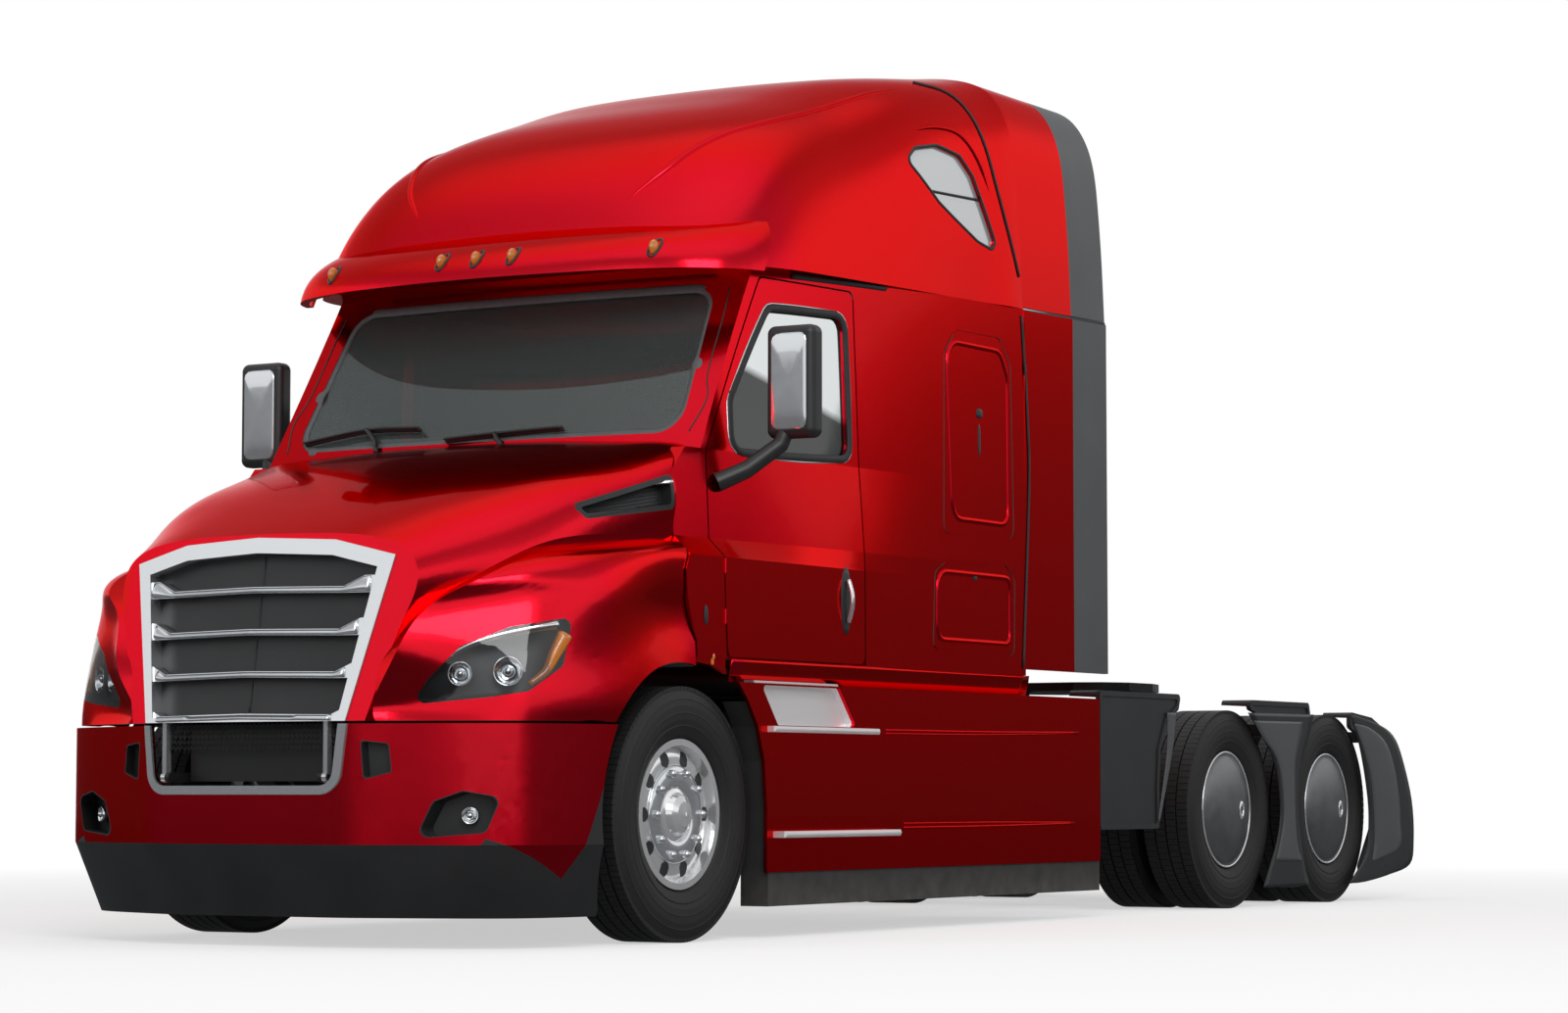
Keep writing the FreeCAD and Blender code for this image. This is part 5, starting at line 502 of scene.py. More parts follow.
def tube(path, radii, facing, sides=8, closed=False, flatness=1.0):
    """A bead along a path. Each ring is an ellipse: the facing direction times the sine, the sideways direction
    times the cosine, both times the radius; the sine part is also times the flatness."""
    path = np.asarray(path, float)
    facing = np.broadcast_to(np.asarray(facing, float), path.shape)
    radii = np.broadcast_to(np.asarray(radii, float), len(path))
    way = np.roll(path, -1, 0) - np.roll(path, 1, 0) if closed else np.gradient(path, axis=0)
    way = way / np.maximum(np.linalg.norm(way, axis=1), 1e-9)[:, None]
    facing = facing - (facing * way).sum(1)[:, None] * way
    facing = facing / np.maximum(np.linalg.norm(facing, axis=1), 1e-9)[:, None]
    sideways = np.cross(way, facing)
    if closed:
        path, facing, sideways = (np.concatenate([part, part[:1]]) for part in (path, facing, sideways))
        radii = np.concatenate([radii, radii[:1]])
    else:
        path, facing, sideways = (np.concatenate([part[:1], part, part[-1:]]) for part in (path, facing, sideways))
        radii = np.concatenate([[0], radii, [0]])
    turn = np.linspace(0, 2 * np.pi, sides, endpoint=False)[None, :, None]
    ring = facing[:, None] * np.sin(turn) * flatness + sideways[:, None] * np.cos(turn)
    points = path[:, None] + ring * radii[:, None, None]
    return points.reshape(-1, 3), grid(len(path), sides)


def gasket(name, dark, pale):
    """Extruded EPDM rubber, dull, chalked in small clouds between two greys."""
    rubber, tree, place = new_material(name)
    chalk = add(tree, "TexNoise", {0: place, "Scale": 40.0, "Detail": 4.0})
    tone = add(tree, "Mix", {0: chalk, 6: dark, 7: pale}, data_type="RGBA")
    close_material(tree, "BsdfPrincipled", {"Base Color": tone, "Roughness": 0.6})
    return rubber


# Windscreen gasket: an extruded EPDM profile bonded round the glass, about 50 mm wide, the rubber filled grey.
gasket_rubber = gasket("black_epdm_gasket", "#1B1C1D", "#303133")
grey_rubber = gasket("grey_epdm_gasket", "#56595B", "#6C6F71")
gasket_corners = [(-0.990, 2.058), (-0.934, 2.700), (0.934, 2.700), (0.990, 2.058)]
path, facing = from_front(("cab_shell", "cab_glass"), even(rounded_loop(gasket_corners, 0.105), 0.035))
piece("windscreen_gasket", [tube(path, 0.024, facing, closed=True, flatness=0.35)], grey_rubber, "chassis")


def pushed(loop, step):
    """A closed outline moved away from its middle: each point goes outwards by the step."""
    reach = loop - loop.mean(0)
    return loop.mean(0) + reach * (1 + step / np.linalg.norm(reach, axis=1))[:, None]


# Side window gaskets: black rubber lip round the door glass with a bright bead along its outer edge.
both_sides = ((1.0, "left"), (-1.0, "right"))
window_corners = [(1.772, 1.992), (1.796, 2.205), (2.108, 2.608), (2.626, 2.628), (2.626, 2.022)]
window_loop = even(rounded_loop(window_corners, 0.064), 0.03)
for side, name in both_sides:
    for grow, thick, finish, label, slot in ((0.013, 0.018, gasket_rubber, "window_gasket_", "black_rubber"),
                                             (0.031, 0.0045, chrome, "window_bead_", "bright_chrome")):
        path, facing = from_side(("door_" + name,), pushed(window_loop, grow), side)
        piece(label + name, [tube(path, thick, facing, closed=True, flatness=0.5)], finish, "door_" + name)

# Roof windows: the same rubber lip, and a bar that splits the glass.
eye_corners = [(3.224, 3.400), (3.320, 3.468), (3.508, 3.503), (3.690, 3.480), (3.790, 3.399), (3.884, 3.231),
               (3.950, 3.112), (3.911, 3.080), (3.786, 3.105), (3.459, 3.242)]
path, facing = from_side(("roof_fairing",), pushed(even(rounded_loop(eye_corners, 0.030, 6), 0.018), 0.006))
bar, bar_facing = from_side(("cab_glass",), np.linspace((3.42, 3.285), (3.845, 3.300), 16))
lips = [tube(path, 0.0075, facing, closed=True, flatness=0.6), tube(bar, 0.007, bar_facing)]
piece("roof_window_lips", both(lips), gasket_rubber, "chassis")

# Wipers: powder-coated steel arms with rubber blades, parked along the foot of the windscreen.
wiper_ways = (((-0.93, 2.085), (-0.60, 2.125), (-0.30, 2.120)), ((-0.14, 2.060), (0.10, 2.072), (0.44, 2.085)))
shells = []
for blade in wiper_ways:
    line = smooth_line(blade, 24)
    path, facing = from_front(("cab_glass", "cab_shell"), line)
    shells.append(tube(path + facing * 0.016, 0.007, facing, flatness=1.6))
    shells.append(tube(path + facing * 0.034, 0.006, facing))
    foot = smooth_line([line[12] + (0.10, -0.10), line[12] + (0.06, -0.05), line[12]], 10)
    arm, arm_facing = from_front(("cab_glass", "cab_shell"), foot)
    shells.append(tube(arm + arm_facing * np.linspace(0.02, 0.034, 10)[:, None], 0.011, arm_facing))
piece("wipers", shells, black_plastic, "chassis")


def turned_ring(profile, centre, steps=96):
    """A profile of (radius, out) turned about the axle through the centre: x and z are the radius times the
    cosine and sine of the turn, y is out."""
    profile = np.asarray(profile, float)
    turn = np.linspace(0, 2 * np.pi, steps, endpoint=False)[None, :]
    radius, out = profile[:, 0][:, None], profile[:, 1][:, None]
    points = np.stack([radius * np.cos(turn), out + 0 * turn, radius * np.sin(turn)], -1)
    return points.reshape(-1, 3) + np.asarray(centre, float), grid(len(profile), steps)


# Tyres: black filled rubber on a steel-belted carcass. All have straight ribs cut by fine sipes, five in front
# and four wide ones at the rear, and thin moulded rings on their sides.
tyre_rubber, tree, place = new_material("carbon_filled_tyre_rubber")
mottle = add(tree, "TexNoise", {0: place, "Scale": 60.0, "Detail": 5.0})
tone = add(tree, "Mix", {0: mottle, 6: "#131314", 7: "#232221"}, data_type="RGBA")
# Mould texture is 0.5 mm deep at 3 mm spacing; it is drawn at 12 mm.
fine = add(tree, "Bump", {"Height": mottle, "Strength": 0.2, "Distance": 0.0008})
close_material(tree, "BsdfPrincipled", {"Base Color": tone, "Roughness": 0.62, "Normal": fine})
tyre_width, tread_depth, block_root, tread_half_share = 0.278, 0.013, 0.004, 0.41
# Half section from bead to tread: (share of the radius, share of the width), with rings at 0.69, 0.79 and 0.90.
side_shares = ((0.592, 0.36), (0.615, 0.412), (0.64, 0.436), (0.685, 0.470), (0.689, 0.479), (0.697, 0.480),
               (0.701, 0.473), (0.74, 0.490), (0.785, 0.497), (0.789, 0.5), (0.797, 0.5), (0.801, 0.497),
               (0.85, 0.496), (0.895, 0.483), (0.899, 0.486), (0.907, 0.482), (0.911, 0.475), (0.945, 0.452),
               (0.972, 0.432))
half_section = [(radius * tyre_radius, out * tyre_width) for radius, out in side_shares]
half_section.append((tyre_radius - tread_depth, tread_half_share * tyre_width))
section = [(radius, -out) for radius, out in half_section] + half_section[::-1]
section.append(section[0])


def tread(centre, rows, count, gap):
    """Blocks round the tyre: row after row at its offset and width, count of them around, every other row turned
    by half a pitch. A block's eight corners are its middle plus or minus its half sizes along the axle, round
    the tyre and outwards."""
    shells = []
    pitch = 2 * np.pi / count
    signs = np.array([(-1, -1, -1), (1, -1, -1), (1, 1, -1), (-1, 1, -1),
                      (-1, -1, 1), (1, -1, 1), (1, 1, 1), (-1, 1, 1)])
    six = np.array([(0, 3, 2, 1), (4, 5, 6, 7), (0, 1, 5, 4), (1, 2, 6, 5), (2, 3, 7, 6), (3, 0, 4, 7)])
    high = tread_depth / 2 + block_root / 2
    for number, (out, wide) in enumerate(rows):
        turn = (np.arange(count) + 0.5 * (number % 2)) * pitch
        outward = np.stack([np.cos(turn), 0 * turn, np.sin(turn)], -1)
        round_way = np.stack([-np.sin(turn), 0 * turn, np.cos(turn)], -1)
        points = (outward * (tyre_radius - high) + (0, out, 0) + np.asarray(centre))[:, None]
        for axis, (way, size) in enumerate((((0, 1, 0) + 0 * outward, wide / 2),
                                            (round_way, (tyre_radius * pitch - gap) / 2), (outward, high))):
            points = points + signs[None, :, axis, None] * (way * size)[:, None]
        faces = np.arange(count)[:, None, None] * 8 + six[None]
        shells.append((points.reshape(-1, 3), faces.reshape(-1, 4)))
    return shells


rib_rows = ((-0.1005, 0.044), (-0.049, 0.042), (0.0, 0.042), (0.049, 0.042), (0.1005, 0.044))
wide_rows = ((-0.093, 0.057), (-0.031, 0.054), (0.031, 0.054), (0.093, 0.057))
drive_axle_backs = (("1_", 6.501), ("2_", 7.814))
for side, name in both_sides:
    centre = (nose - front_axle_back, side * hub_out, tyre_radius)
    shells = [turned_ring(section, centre)] + tread(centre, rib_rows, 120, 0.0022)
    tyre = piece("front_tyre_with_ribs_" + name, shells, tyre_rubber, "front_wheel_" + name,
                 smooth=False)
    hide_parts("front_tyre_" + name)
    for axle, back in drive_axle_backs:
        low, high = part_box("drive_tyres_" + axle + name)
        shells = []
        for out in (low[1] + tyre_width / 2, high[1] - tyre_width / 2):
            centre = (nose - back, out, tyre_radius)
            shells.append(turned_ring(section, centre))
            shells += tread(centre, wide_rows, 96, 0.0026)
        tyre = piece("drive_tyres_with_ribs_" + axle + name, shells, tyre_rubber, "drive_wheels_" + axle + name,
                     smooth=False)
        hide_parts("drive_tyres_" + axle + name)


def pierced_ring(inner, outer, hole_circle, hole_radius, count, per_side=8, rings=6):
    """Flat ring with round holes, as (radius, turn) points. Each hole has a field of its own; the field's edge is
    cut into even lengths, and its points are the edge times the share plus the hole's edge times the rest."""
    share = np.linspace(0, 1, per_side, endpoint=False)
    half = np.pi / count
    low, high = inner - hole_circle, outer - hole_circle
    edge = np.concatenate([np.stack([low + 0 * share, half * (2 * share - 1)], -1),
                           np.stack([low + (high - low) * share, half + 0 * share], -1),
                           np.stack([high + 0 * share, half * (1 - 2 * share)], -1),
                           np.stack([high + (low - high) * share, -half + 0 * share], -1)])
    way = edge * (1.0, hole_circle)
    round_hole = way / np.linalg.norm(way, axis=1)[:, None] * hole_radius / (1.0, hole_circle)
    blend = np.linspace(0, 1, rings)[:, None, None]
    field = round_hole[None] * (1 - blend) + edge[None] * blend
    turn = 2 * np.pi * np.arange(count)[:, None, None] / count
    radius = hole_circle + field[None, ..., 0] + 0 * turn
    angle = field[None, ..., 1] + turn
    faces = grid(rings, 4 * per_side)[None] + (np.arange(count) * rings * 4 * per_side)[:, None, None]
    return radius.reshape(-1), angle.reshape(-1), faces.reshape(-1, 4)


# Front wheels: a polished skin with ten hand holes over the disc, black dishes behind the holes as painted shade
# where they look into the wheel, and a chromed hub cover with ten nut thimbles on the 335 mm bolt circle and a
# rolled edge.
hand_hole_circle, bolt_circle, front_studs = 0.2285, 0.1675, 10
skin_line = np.array([(0.110, 0.0850), (0.196, 0.0850), (0.230, 0.0830), (0.246, 0.0795), (0.262, 0.0680),
                      (0.280, 0.0410), (0.286, 0.0330)])
lip = [(0.262, 0.0680), (0.271, 0.0560), (0.280, 0.0410), (0.286, 0.0330), (0.284, 0.0310), (0.262, 0.0600),
       (0.262, 0.0680)]
thimble = [(0.0, 0.126), (0.008, 0.125), (0.014, 0.120), (0.0165, 0.110), (0.017, 0.098), (0.020, 0.092),
           (0.0, 0.090)]
hub_cover = [(0.104, 0.086), (0.104, 0.094), (0.112, 0.1005), (0.130, 0.1025), (0.165, 0.1015), (0.184, 0.0985),
             (0.193, 0.094), (0.197, 0.088), (0.195, 0.083), (0.104, 0.083), (0.104, 0.086)]
hand_hole_shade_dish = [(0.0, 0.0795), (0.027, 0.0795), (0.0315, 0.0800), (0.0315, 0.076), (0.0, 0.076)]
radius, angle, pierced_faces = pierced_ring(0.196, 0.262, hand_hole_circle, 0.0285, front_studs)
skin_out = np.interp(radius, skin_line[:, 0], skin_line[:, 1])
for side, name in both_sides:
    body, to_side = "front_wheel_" + name, (1.0, side)
    centre = np.array((nose - front_axle_back, side * hub_out, tyre_radius))
    front = np.stack([radius * np.cos(angle), skin_out * side, radius * np.sin(angle)], -1) + centre
    piece("wheel_skins_" + name, [(front, pierced_faces), turned_ring(np.array(lip) * to_side, centre, 120)],
          polished, body)
    shade_dishes, nuts = [], []
    for turn in np.linspace(0, 2 * np.pi, front_studs, endpoint=False):
        outward = np.array((math.cos(turn), 0.0, math.sin(turn)))
        points, faces = turned_ring(np.array(hand_hole_shade_dish) * to_side, (0, 0, 0), 24)
        lean = np.array((0.0, side, 0.0)) * ((points @ outward) * -0.22)[:, None]
        shade_dishes.append((points + lean + centre + outward * hand_hole_circle + (0, side * 0.0018, 0), faces))
        nuts.append(turned_ring(np.array(thimble) * to_side, centre + outward * bolt_circle, 14))
    # Black dishes in the hand holes: painted shade where the holes look into the wheel.
    piece("hand_hole_shade_dishes_" + name, shade_dishes, gasket_rubber, body)
    nuts.append(turned_ring(np.array(hub_cover) * to_side, centre))
    piece("hub_covers_" + name, nuts, chrome, body)

# Drive wheel covers: spun aluminium discs, domed by 50 mm, that reach the rim's flange, with a bright rolled
# edge; an oval hole with a turned edge, 90 mm from the axle, lets the tyre pump's hose reach the valve. The hole
# itself is a black disc on the cover, painted shade where it looks into the wheel.
dome = [(0.0, 0.010), (0.05, 0.0095), (0.10, 0.0065), (0.15, 0.0005), (0.20, -0.009), (0.24, -0.019),
        (0.268, -0.029), (0.281, -0.036), (0.285, -0.043), (0.280, -0.050), (0.0, -0.050)]
edge = [(0.286, -0.040), (0.290, -0.0345), (0.295, -0.034), (0.299, -0.039), (0.295, -0.046), (0.288, -0.047),
        (0.286, -0.040)]
hole_edge = [(0.015, 0.001), (0.018, 0.005), (0.023, 0.006), (0.029, 0.003), (0.033, -0.002), (0.015, -0.004),
             (0.015, 0.001)]
hole_shade_disc = [(0.0, 0.0015), (0.012, 0.001), (0.016, -0.001), (0.0, -0.004)]
tall = (1.0, 1.0, 1.5)
for side, name in both_sides:
    for axle, back in drive_axle_backs:
        low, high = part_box("drive_rims_" + axle + name)
        body, to_side = "drive_wheels_" + axle + name, (1.0, side)
        centre = np.array((nose - back, high[1] if side > 0 else low[1], tyre_radius))
        eye = centre + (-0.090, 0.0065 * side, -0.004)
        eye_edge, edge_faces = turned_ring(np.array(hole_edge) * to_side, (0, 0, 0), 32)
        eye_shade_disc, hole_faces = turned_ring(np.array(hole_shade_disc) * to_side, (0, 0, 0), 24)
        piece("cover_discs_" + axle + name, [turned_ring(np.array(dome) * to_side, centre)], cover_grey, body)
        piece("cover_edges_" + axle + name, [turned_ring(np.array(edge) * to_side, centre),
                                             (eye_edge * tall + eye, edge_faces)], polished, body)
        # Black disc in the oval hole: painted shade.
        piece("cover_hole_shades_" + axle + name, [(eye_shade_disc * tall + eye, hole_faces)], gasket_rubber, body)

# Head lamps: a clear moulded polycarbonate lens over a black bowl. The lens is what faces forwards and outwards
# of the lamp's solid, the bowl is the rest of it.
lamp_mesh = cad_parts["headlamps"].data
lamp_mesh.calc_loop_triangles()
corners = np.zeros(len(lamp_mesh.vertices) * 3)
lamp_mesh.vertices.foreach_get("co", corners)
corners = corners.reshape(-1, 3)
triangles = np.zeros(len(lamp_mesh.loop_triangles) * 3, int)
lamp_mesh.loop_triangles.foreach_get("vertices", triangles)
triangles = triangles.reshape(-1, 3)
whole = corners[triangles]
facing = np.cross(whole[:, 1] - whole[:, 0], whole[:, 2] - whole[:, 0])
facing /= np.maximum(np.linalg.norm(facing, axis=1), 1e-12)[:, None]
towards = (facing[:, 0] + facing[:, 1] * np.where(whole[:, :, 1].mean(1) > 0, 1.0, -1.0)) * 0.7071
lens_from = 0.25
clear_lens, tree, place = new_material("clear_moulded_polycarbonate")
haze = add(tree, "TexNoise", {0: place, "Scale": 20.0, "Detail": 3.0})
gloss = add(tree, "MapRange", {"Value": haze, "To Min": 0.0, "To Max": 0.04})
clear = add(tree, "BsdfTransparent", {"Color": "#F2F5F7"})
shine = add(tree, "BsdfGlossy", {"Color": "#FFFFFF", "Roughness": gloss})
close_material(tree, "MixShader", {0: add(tree, "Fresnel", {"IOR": 1.58}), 1: clear, 2: shine})
lens_piece = piece("headlamp_lenses", [(corners, triangles[towards > lens_from])], clear_lens, "hood")
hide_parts("headlamps")
piece("headlamp_bowls", [(corners, triangles[towards <= lens_from])], black_plastic, "hood")

# Reflectors: two vacuum-metallised bowls, each with a small bright projector lens in it, and a light guide
# along the lamp's top edge.
reflector_chrome, tree, place = new_material("vacuum_metallised_reflector")
ripple = add(tree, "TexNoise", {0: place, "Scale": 45.0, "Detail": 1.0})
wavy = add(tree, "Bump", {"Height": ripple, "Strength": 0.3, "Distance": 0.002})
close_material(tree, "BsdfPrincipled", {"Base Color": "#E8EAEC", "Metallic": 1.0, "Roughness": 0.08, "Normal": wavy})
look_out = np.array(to_picture)


def aimed_ring(profile, place, steps):
    """A profile of (radius, out) turned about a level axis that points forwards and to the left."""
    points, faces = turned_ring(profile, (0, 0, 0), steps)
    ways = np.stack([np.cross((0, 0, 1.0), look_out), look_out, (0, 0, 1.0)])
    return points @ ways + place, faces


bowl = np.array([(0.0, -1.0), (0.2, -0.96), (0.45, -0.80), (0.7, -0.51), (0.9, -0.19), (1.0, 0.0), (1.06, -0.02),
                 (1.0, -0.14), (0.9, -0.35), (0.0, -1.12)])
projector = [(0.0, 0.014), (0.010, 0.012), (0.016, 0.006), (0.018, -0.004), (0.0, -0.016)]
bowl_behind, projector_behind, bowl_depth_share = 0.032, 0.048, 0.55
shells = []
for spot, radius in (((4.226, 0.872, 1.040), 0.044), ((4.126, 1.022, 1.050), 0.054)):
    bowl_size = (radius, radius * bowl_depth_share)
    shells.append(aimed_ring(bowl * bowl_size, np.array(spot) - look_out * bowl_behind, 40))
    shells.append(aimed_ring(projector, np.array(spot) - look_out * projector_behind, 20))
strip = smooth_line([(4.251, 0.833, 1.118), (4.198, 0.902, 1.163), (4.126, 0.987, 1.198), (4.034, 1.080, 1.226),
                     (3.960, 1.132, 1.240)], 24)
shells.append(tube(strip - look_out * 0.020 - (0, 0, 0.012), np.linspace(0.014, 0.026, 24), (0, 0, 1.0),
                   flatness=0.9))
piece("headlamp_reflectors", both(shells), reflector_chrome, "hood")
# The flasher is an amber lens at the rear end of the lamp.
amber = smooth_line([(4.083, 1.093, 1.000), (4.022, 1.127, 1.050), (3.990, 1.140, 1.110), (3.945, 1.158, 1.190)], 18)
piece("flasher_lenses", both([tube(amber - look_out * 0.022, np.linspace(0.012, 0.032, 18), (0, 0, 1.0))]),
      lens_plastic, "hood")

# Fog lamps: a small chromed bowl with a bright lens, in each recess of the bumper.
fog_bowl = [(0.0, -0.014), (0.013, -0.013), (0.024, -0.007), (0.029, 0.0), (0.032, 0.0), (0.032, -0.020),
            (0.0, -0.024)]
fog_lens = [(0.0, 0.010), (0.009, 0.007), (0.014, 0.0), (0.011, -0.008), (0.0, -0.012)]
spot = from_front(("bumper_trim",), [(0.905, 0.505)])[0][0] + (0.034, 0.0, 0.0)
piece("fog_lamps", both([aimed_ring(profile, spot, 32) for profile in (fog_bowl, fog_lens)]), reflector_chrome,
      "chassis")

# Door handles: a black nylon escutcheon with a chromed grip, upright near the door's rear edge.
handle_back, plate_points = nose - 1.903, 12
for side, name in both_sides:
    line = np.column_stack([np.full(plate_points, handle_back), np.linspace(1.262, 1.545, plate_points)])
    path, facing = from_side(("door_" + name,), line, side)
    swell = np.maximum(np.sin(np.linspace(0.0, np.pi, plate_points)) ** 0.35, 0.35)
    piece("handle_plate_" + name, [tube(path, 0.042 * swell, facing, sides=16, flatness=0.16)], black_plastic,
          "door_" + name)
    grip = path[2:-2] + facing[2:-2] * (0.012 + 0.020 * np.sin(np.linspace(0, np.pi, plate_points - 4)))[:, None]
    piece("handle_grip_" + name, [tube(smooth_line(grip, 20), 0.011, facing[0])], chrome, "door_" + name)

# Mirrors: silvered glass at the rear of each head in a thin black lip, and a chromed shell on its front.
mirror_corners = [(1.288, 2.070), (1.288, 2.466), (1.452, 2.466), (1.452, 2.070)]
loop = even(rounded_loop(mirror_corners, 0.030), 0.02)
rings = ((1.0, 0.0), (0.995, 0.75), (0.975, 1.0), (0.6, 1.5), (0.0, 1.7), (1.0, 0.0), (0.0, 0.0))
for side, name in both_sides:
    for label, back, rise, finish in (("mirror_glass_", 1.913, -0.0035, reflector_chrome),
                                      ("mirror_shell_", 1.812, 0.0045, chrome)):
        points = []
        for share, out in rings:
            spread = loop.mean(0) + (loop - loop.mean(0)) * share
            points.append(np.column_stack([np.full(len(loop), nose - back + rise * out), spread * (side, 1.0)]))
        piece(label + name, [(np.concatenate(points), grid(len(rings), len(loop)))], finish, "door_" + name)

# Mesh band between the grille and the lower mouth: black coated steel wire with 22 mm cells in zigzag rows.
cell, mesh_back, mesh_half = 0.022, 0.047, 0.462
shells = []
for level in np.arange(0.756, 0.846, cell):
    out = np.arange(-mesh_half, mesh_half + 0.001, cell / 2)
    zigzag = level + (np.arange(len(out)) % 2) * cell * 0.55
    line = ahead(np.column_stack([np.full(len(out), mesh_back), out, zigzag]))
    shells.append(tube(line, 0.0026, (1.0, 0, 0), sides=5))
for out in np.arange(-mesh_half, mesh_half + 0.001, cell):
    line = ahead([(mesh_back, out, 0.744), (mesh_back, out, 0.795), (mesh_back, out, 0.846)])
    shells.append(tube(line, 0.0016, (1.0, 0, 0), sides=5))
piece("mouth_mesh", shells, black_plastic, "chassis")

# Bonnet shutters: the joint between the left and the right panels, a thin upright rib.
path, facing = from_front(("hood_trim",), np.linspace((0.0, 0.90), (0.0, 1.50), 24))
piece("shutter_joint", [tube(path, 0.005, facing, sides=6)], gasket_rubber, "hood")

# Bonnet intakes: wire screen behind each frame and a short chromed fin across its rear end.
shells = []
for number in range(9):
    line = np.linspace((0.87, 1.668), (1.30, 1.745), 20) + (0.0, number * 0.013)
    line = line[line[:, 1] < 1.690 + (line[:, 0] - 0.80) * 0.30]
    if len(line) > 3:
        path, facing = from_side(("hood_trim",), line)
        shells.append(tube(path, 0.0028, facing, sides=5))
piece("intake_screens", both(shells), gasket_rubber, "hood")
path, facing = from_side(("hood_trim",), [(1.20, 1.800), (1.25, 1.812), (1.31, 1.826)])
piece("intake_fins", both([tube(smooth_line(path + facing * 0.018, 12), 0.009, facing[0], flatness=0.6)]), chrome,
      "hood")


def oval_pad(nodes, back, low, high, wide, count, power, least, sides, flatness):
    """An upright pad on the side of the CAD nodes: its half width is the root of one less a power of the place
    between its ends, and never less than a least share."""
    path, facing = from_side(nodes, np.linspace((back, low), (back, high), count))
    swell = np.sqrt(np.maximum(1 - np.linspace(-1, 1, count) ** power, least))
    return tube(path, wide * swell, facing, sides=sides, flatness=flatness)


# Side marker: an amber lens on the cowl just behind the wheel arch, and rubber bonnet latches above it.
cowl = ("cab_shell", "hood_shell")
piece("side_markers", both([oval_pad(cowl, 1.489, 1.088, 1.148, 0.010, 9, 2, 0.08, 12, 0.6)]), lens_plastic,
      "chassis")
piece("bonnet_latches", both([oval_pad(cowl, 1.430, 1.260, 1.340, 0.014, 9, 2, 0.08, 12, 0.6)]), gasket_rubber,
      "chassis")

# Sleeper lockers: an oval paddle latch and the strip below it on each tall door, a latch on each low one, all
# black nylon.
latch_sizes = ((3.760, 2.285, 2.330, 0.030), (3.757, 2.110, 2.260, 0.012), (3.700, 1.545, 1.575, 0.022))
shells = [oval_pad(("cab_shell",), *size, 11, 4, 0.05, 14, 0.25) for size in latch_sizes]
piece("locker_latches", both(shells), black_plastic, "chassis")

# Painted shade under the roof's overhang: a black strip under the roof joint, from above the door to behind it.
path, facing = from_side(("cab_shell", "door_left"), np.linspace((2.28, 2.770), (2.95, 2.789), 30))
piece("roof_overhang_shade_strips", both([tube(path, 0.012, facing)]), gasket_rubber, "chassis")

# Seam between cab and side extenders: a black rubber bulb strip from the roof to the sill.
upper_seam = [(3.715, 3.850), (3.870, 3.760), (4.010, 3.338), (4.165, 2.980)]
lower_seam = [(4.178, 2.800), (4.225, 2.300), (4.235, 1.990), (4.170, 1.160)]
shells = []
for nodes, seam in ((("roof_fairing",), upper_seam), (("cab_shell", "side_extenders"), lower_seam)):
    path, facing = from_side(nodes, smooth_line(seam, 40))
    shells.append(tube(path + facing * 0.002, 0.0065, facing))
piece("extender_seams", both(shells), gasket_rubber, "chassis")


def tapered(thin, thick, run, middle):
    """Radii that grow from thin to thick, stay, and shrink again."""
    return np.concatenate([np.linspace(thin, thick, run), np.full(middle, thick), np.linspace(thick, thin, run)])


# Roof: two pressed swage lines run back from the visor; they are the panel's own paint, raised by 10 mm.
swage = [(2.600, 0.520, 3.05), (2.420, 0.700, 3.28), (2.000, 0.860, 3.48), (1.400, 0.930, 3.65),
         (0.900, 0.960, 3.76)]
line = smooth_line(swage, 50) * (1.0, 1.0, 0.0) + (0.0, 0.0, 6.0)
path, facing = landing(("roof_fairing",), line, (0, 0, -1))
piece("roof_swages", both([tube(path - facing * 0.006, tapered(0.004, 0.016, 10, 30), facing, sides=12)]),
      red_paint, "chassis")

# Brow over each roof window: a pressed ridge in the same red.
brow = smooth_line([(3.300, 3.545), (3.520, 3.595), (3.720, 3.590), (3.850, 3.490), (3.940, 3.320)], 40)
path, facing = from_side(("roof_fairing",), brow)
piece("roof_window_brows", both([tube(path - facing * 0.005, tapered(0.003, 0.013, 8, 24), facing, sides=12)]),
      red_paint, "chassis")


def capped(rings):
    """Rings of points as a closed form: a ring gathered in the middle of the first and of the last closes it."""
    ends = rings[[0, -1]].mean(1, keepdims=True) + 0 * rings[[0, -1]]
    rings = np.concatenate([ends[:1], rings, ends[1:]])
    return rings.reshape(-1, 3), grid(len(rings), rings.shape[1])


def plate_between(first, last, face, bulge, thick, rows=40, columns=12):
    """A thin moulded plate between two edge lines of (back, up), both run from top to bottom. Each row goes from
    one edge to the other and back behind; its face stands out by the bulge times one less the fourth power of
    the place between the edges."""
    first, last = smooth_line(first, rows), smooth_line(last, rows)
    share = np.linspace(0, 1, columns)[None, :, None]
    flat = first[:, None] * (1 - share) + last[:, None] * share
    out = face + bulge * (1 - (2 * share[..., 0] - 1) ** 4) + 0 * flat[..., 0]
    front = np.stack([flat[..., 0], out, flat[..., 1]], -1)
    behind = np.stack([flat[..., 0], 0 * out + face - thick, flat[..., 1]], -1)[:, ::-1]
    return capped(ahead(np.concatenate([front, behind], 1)))


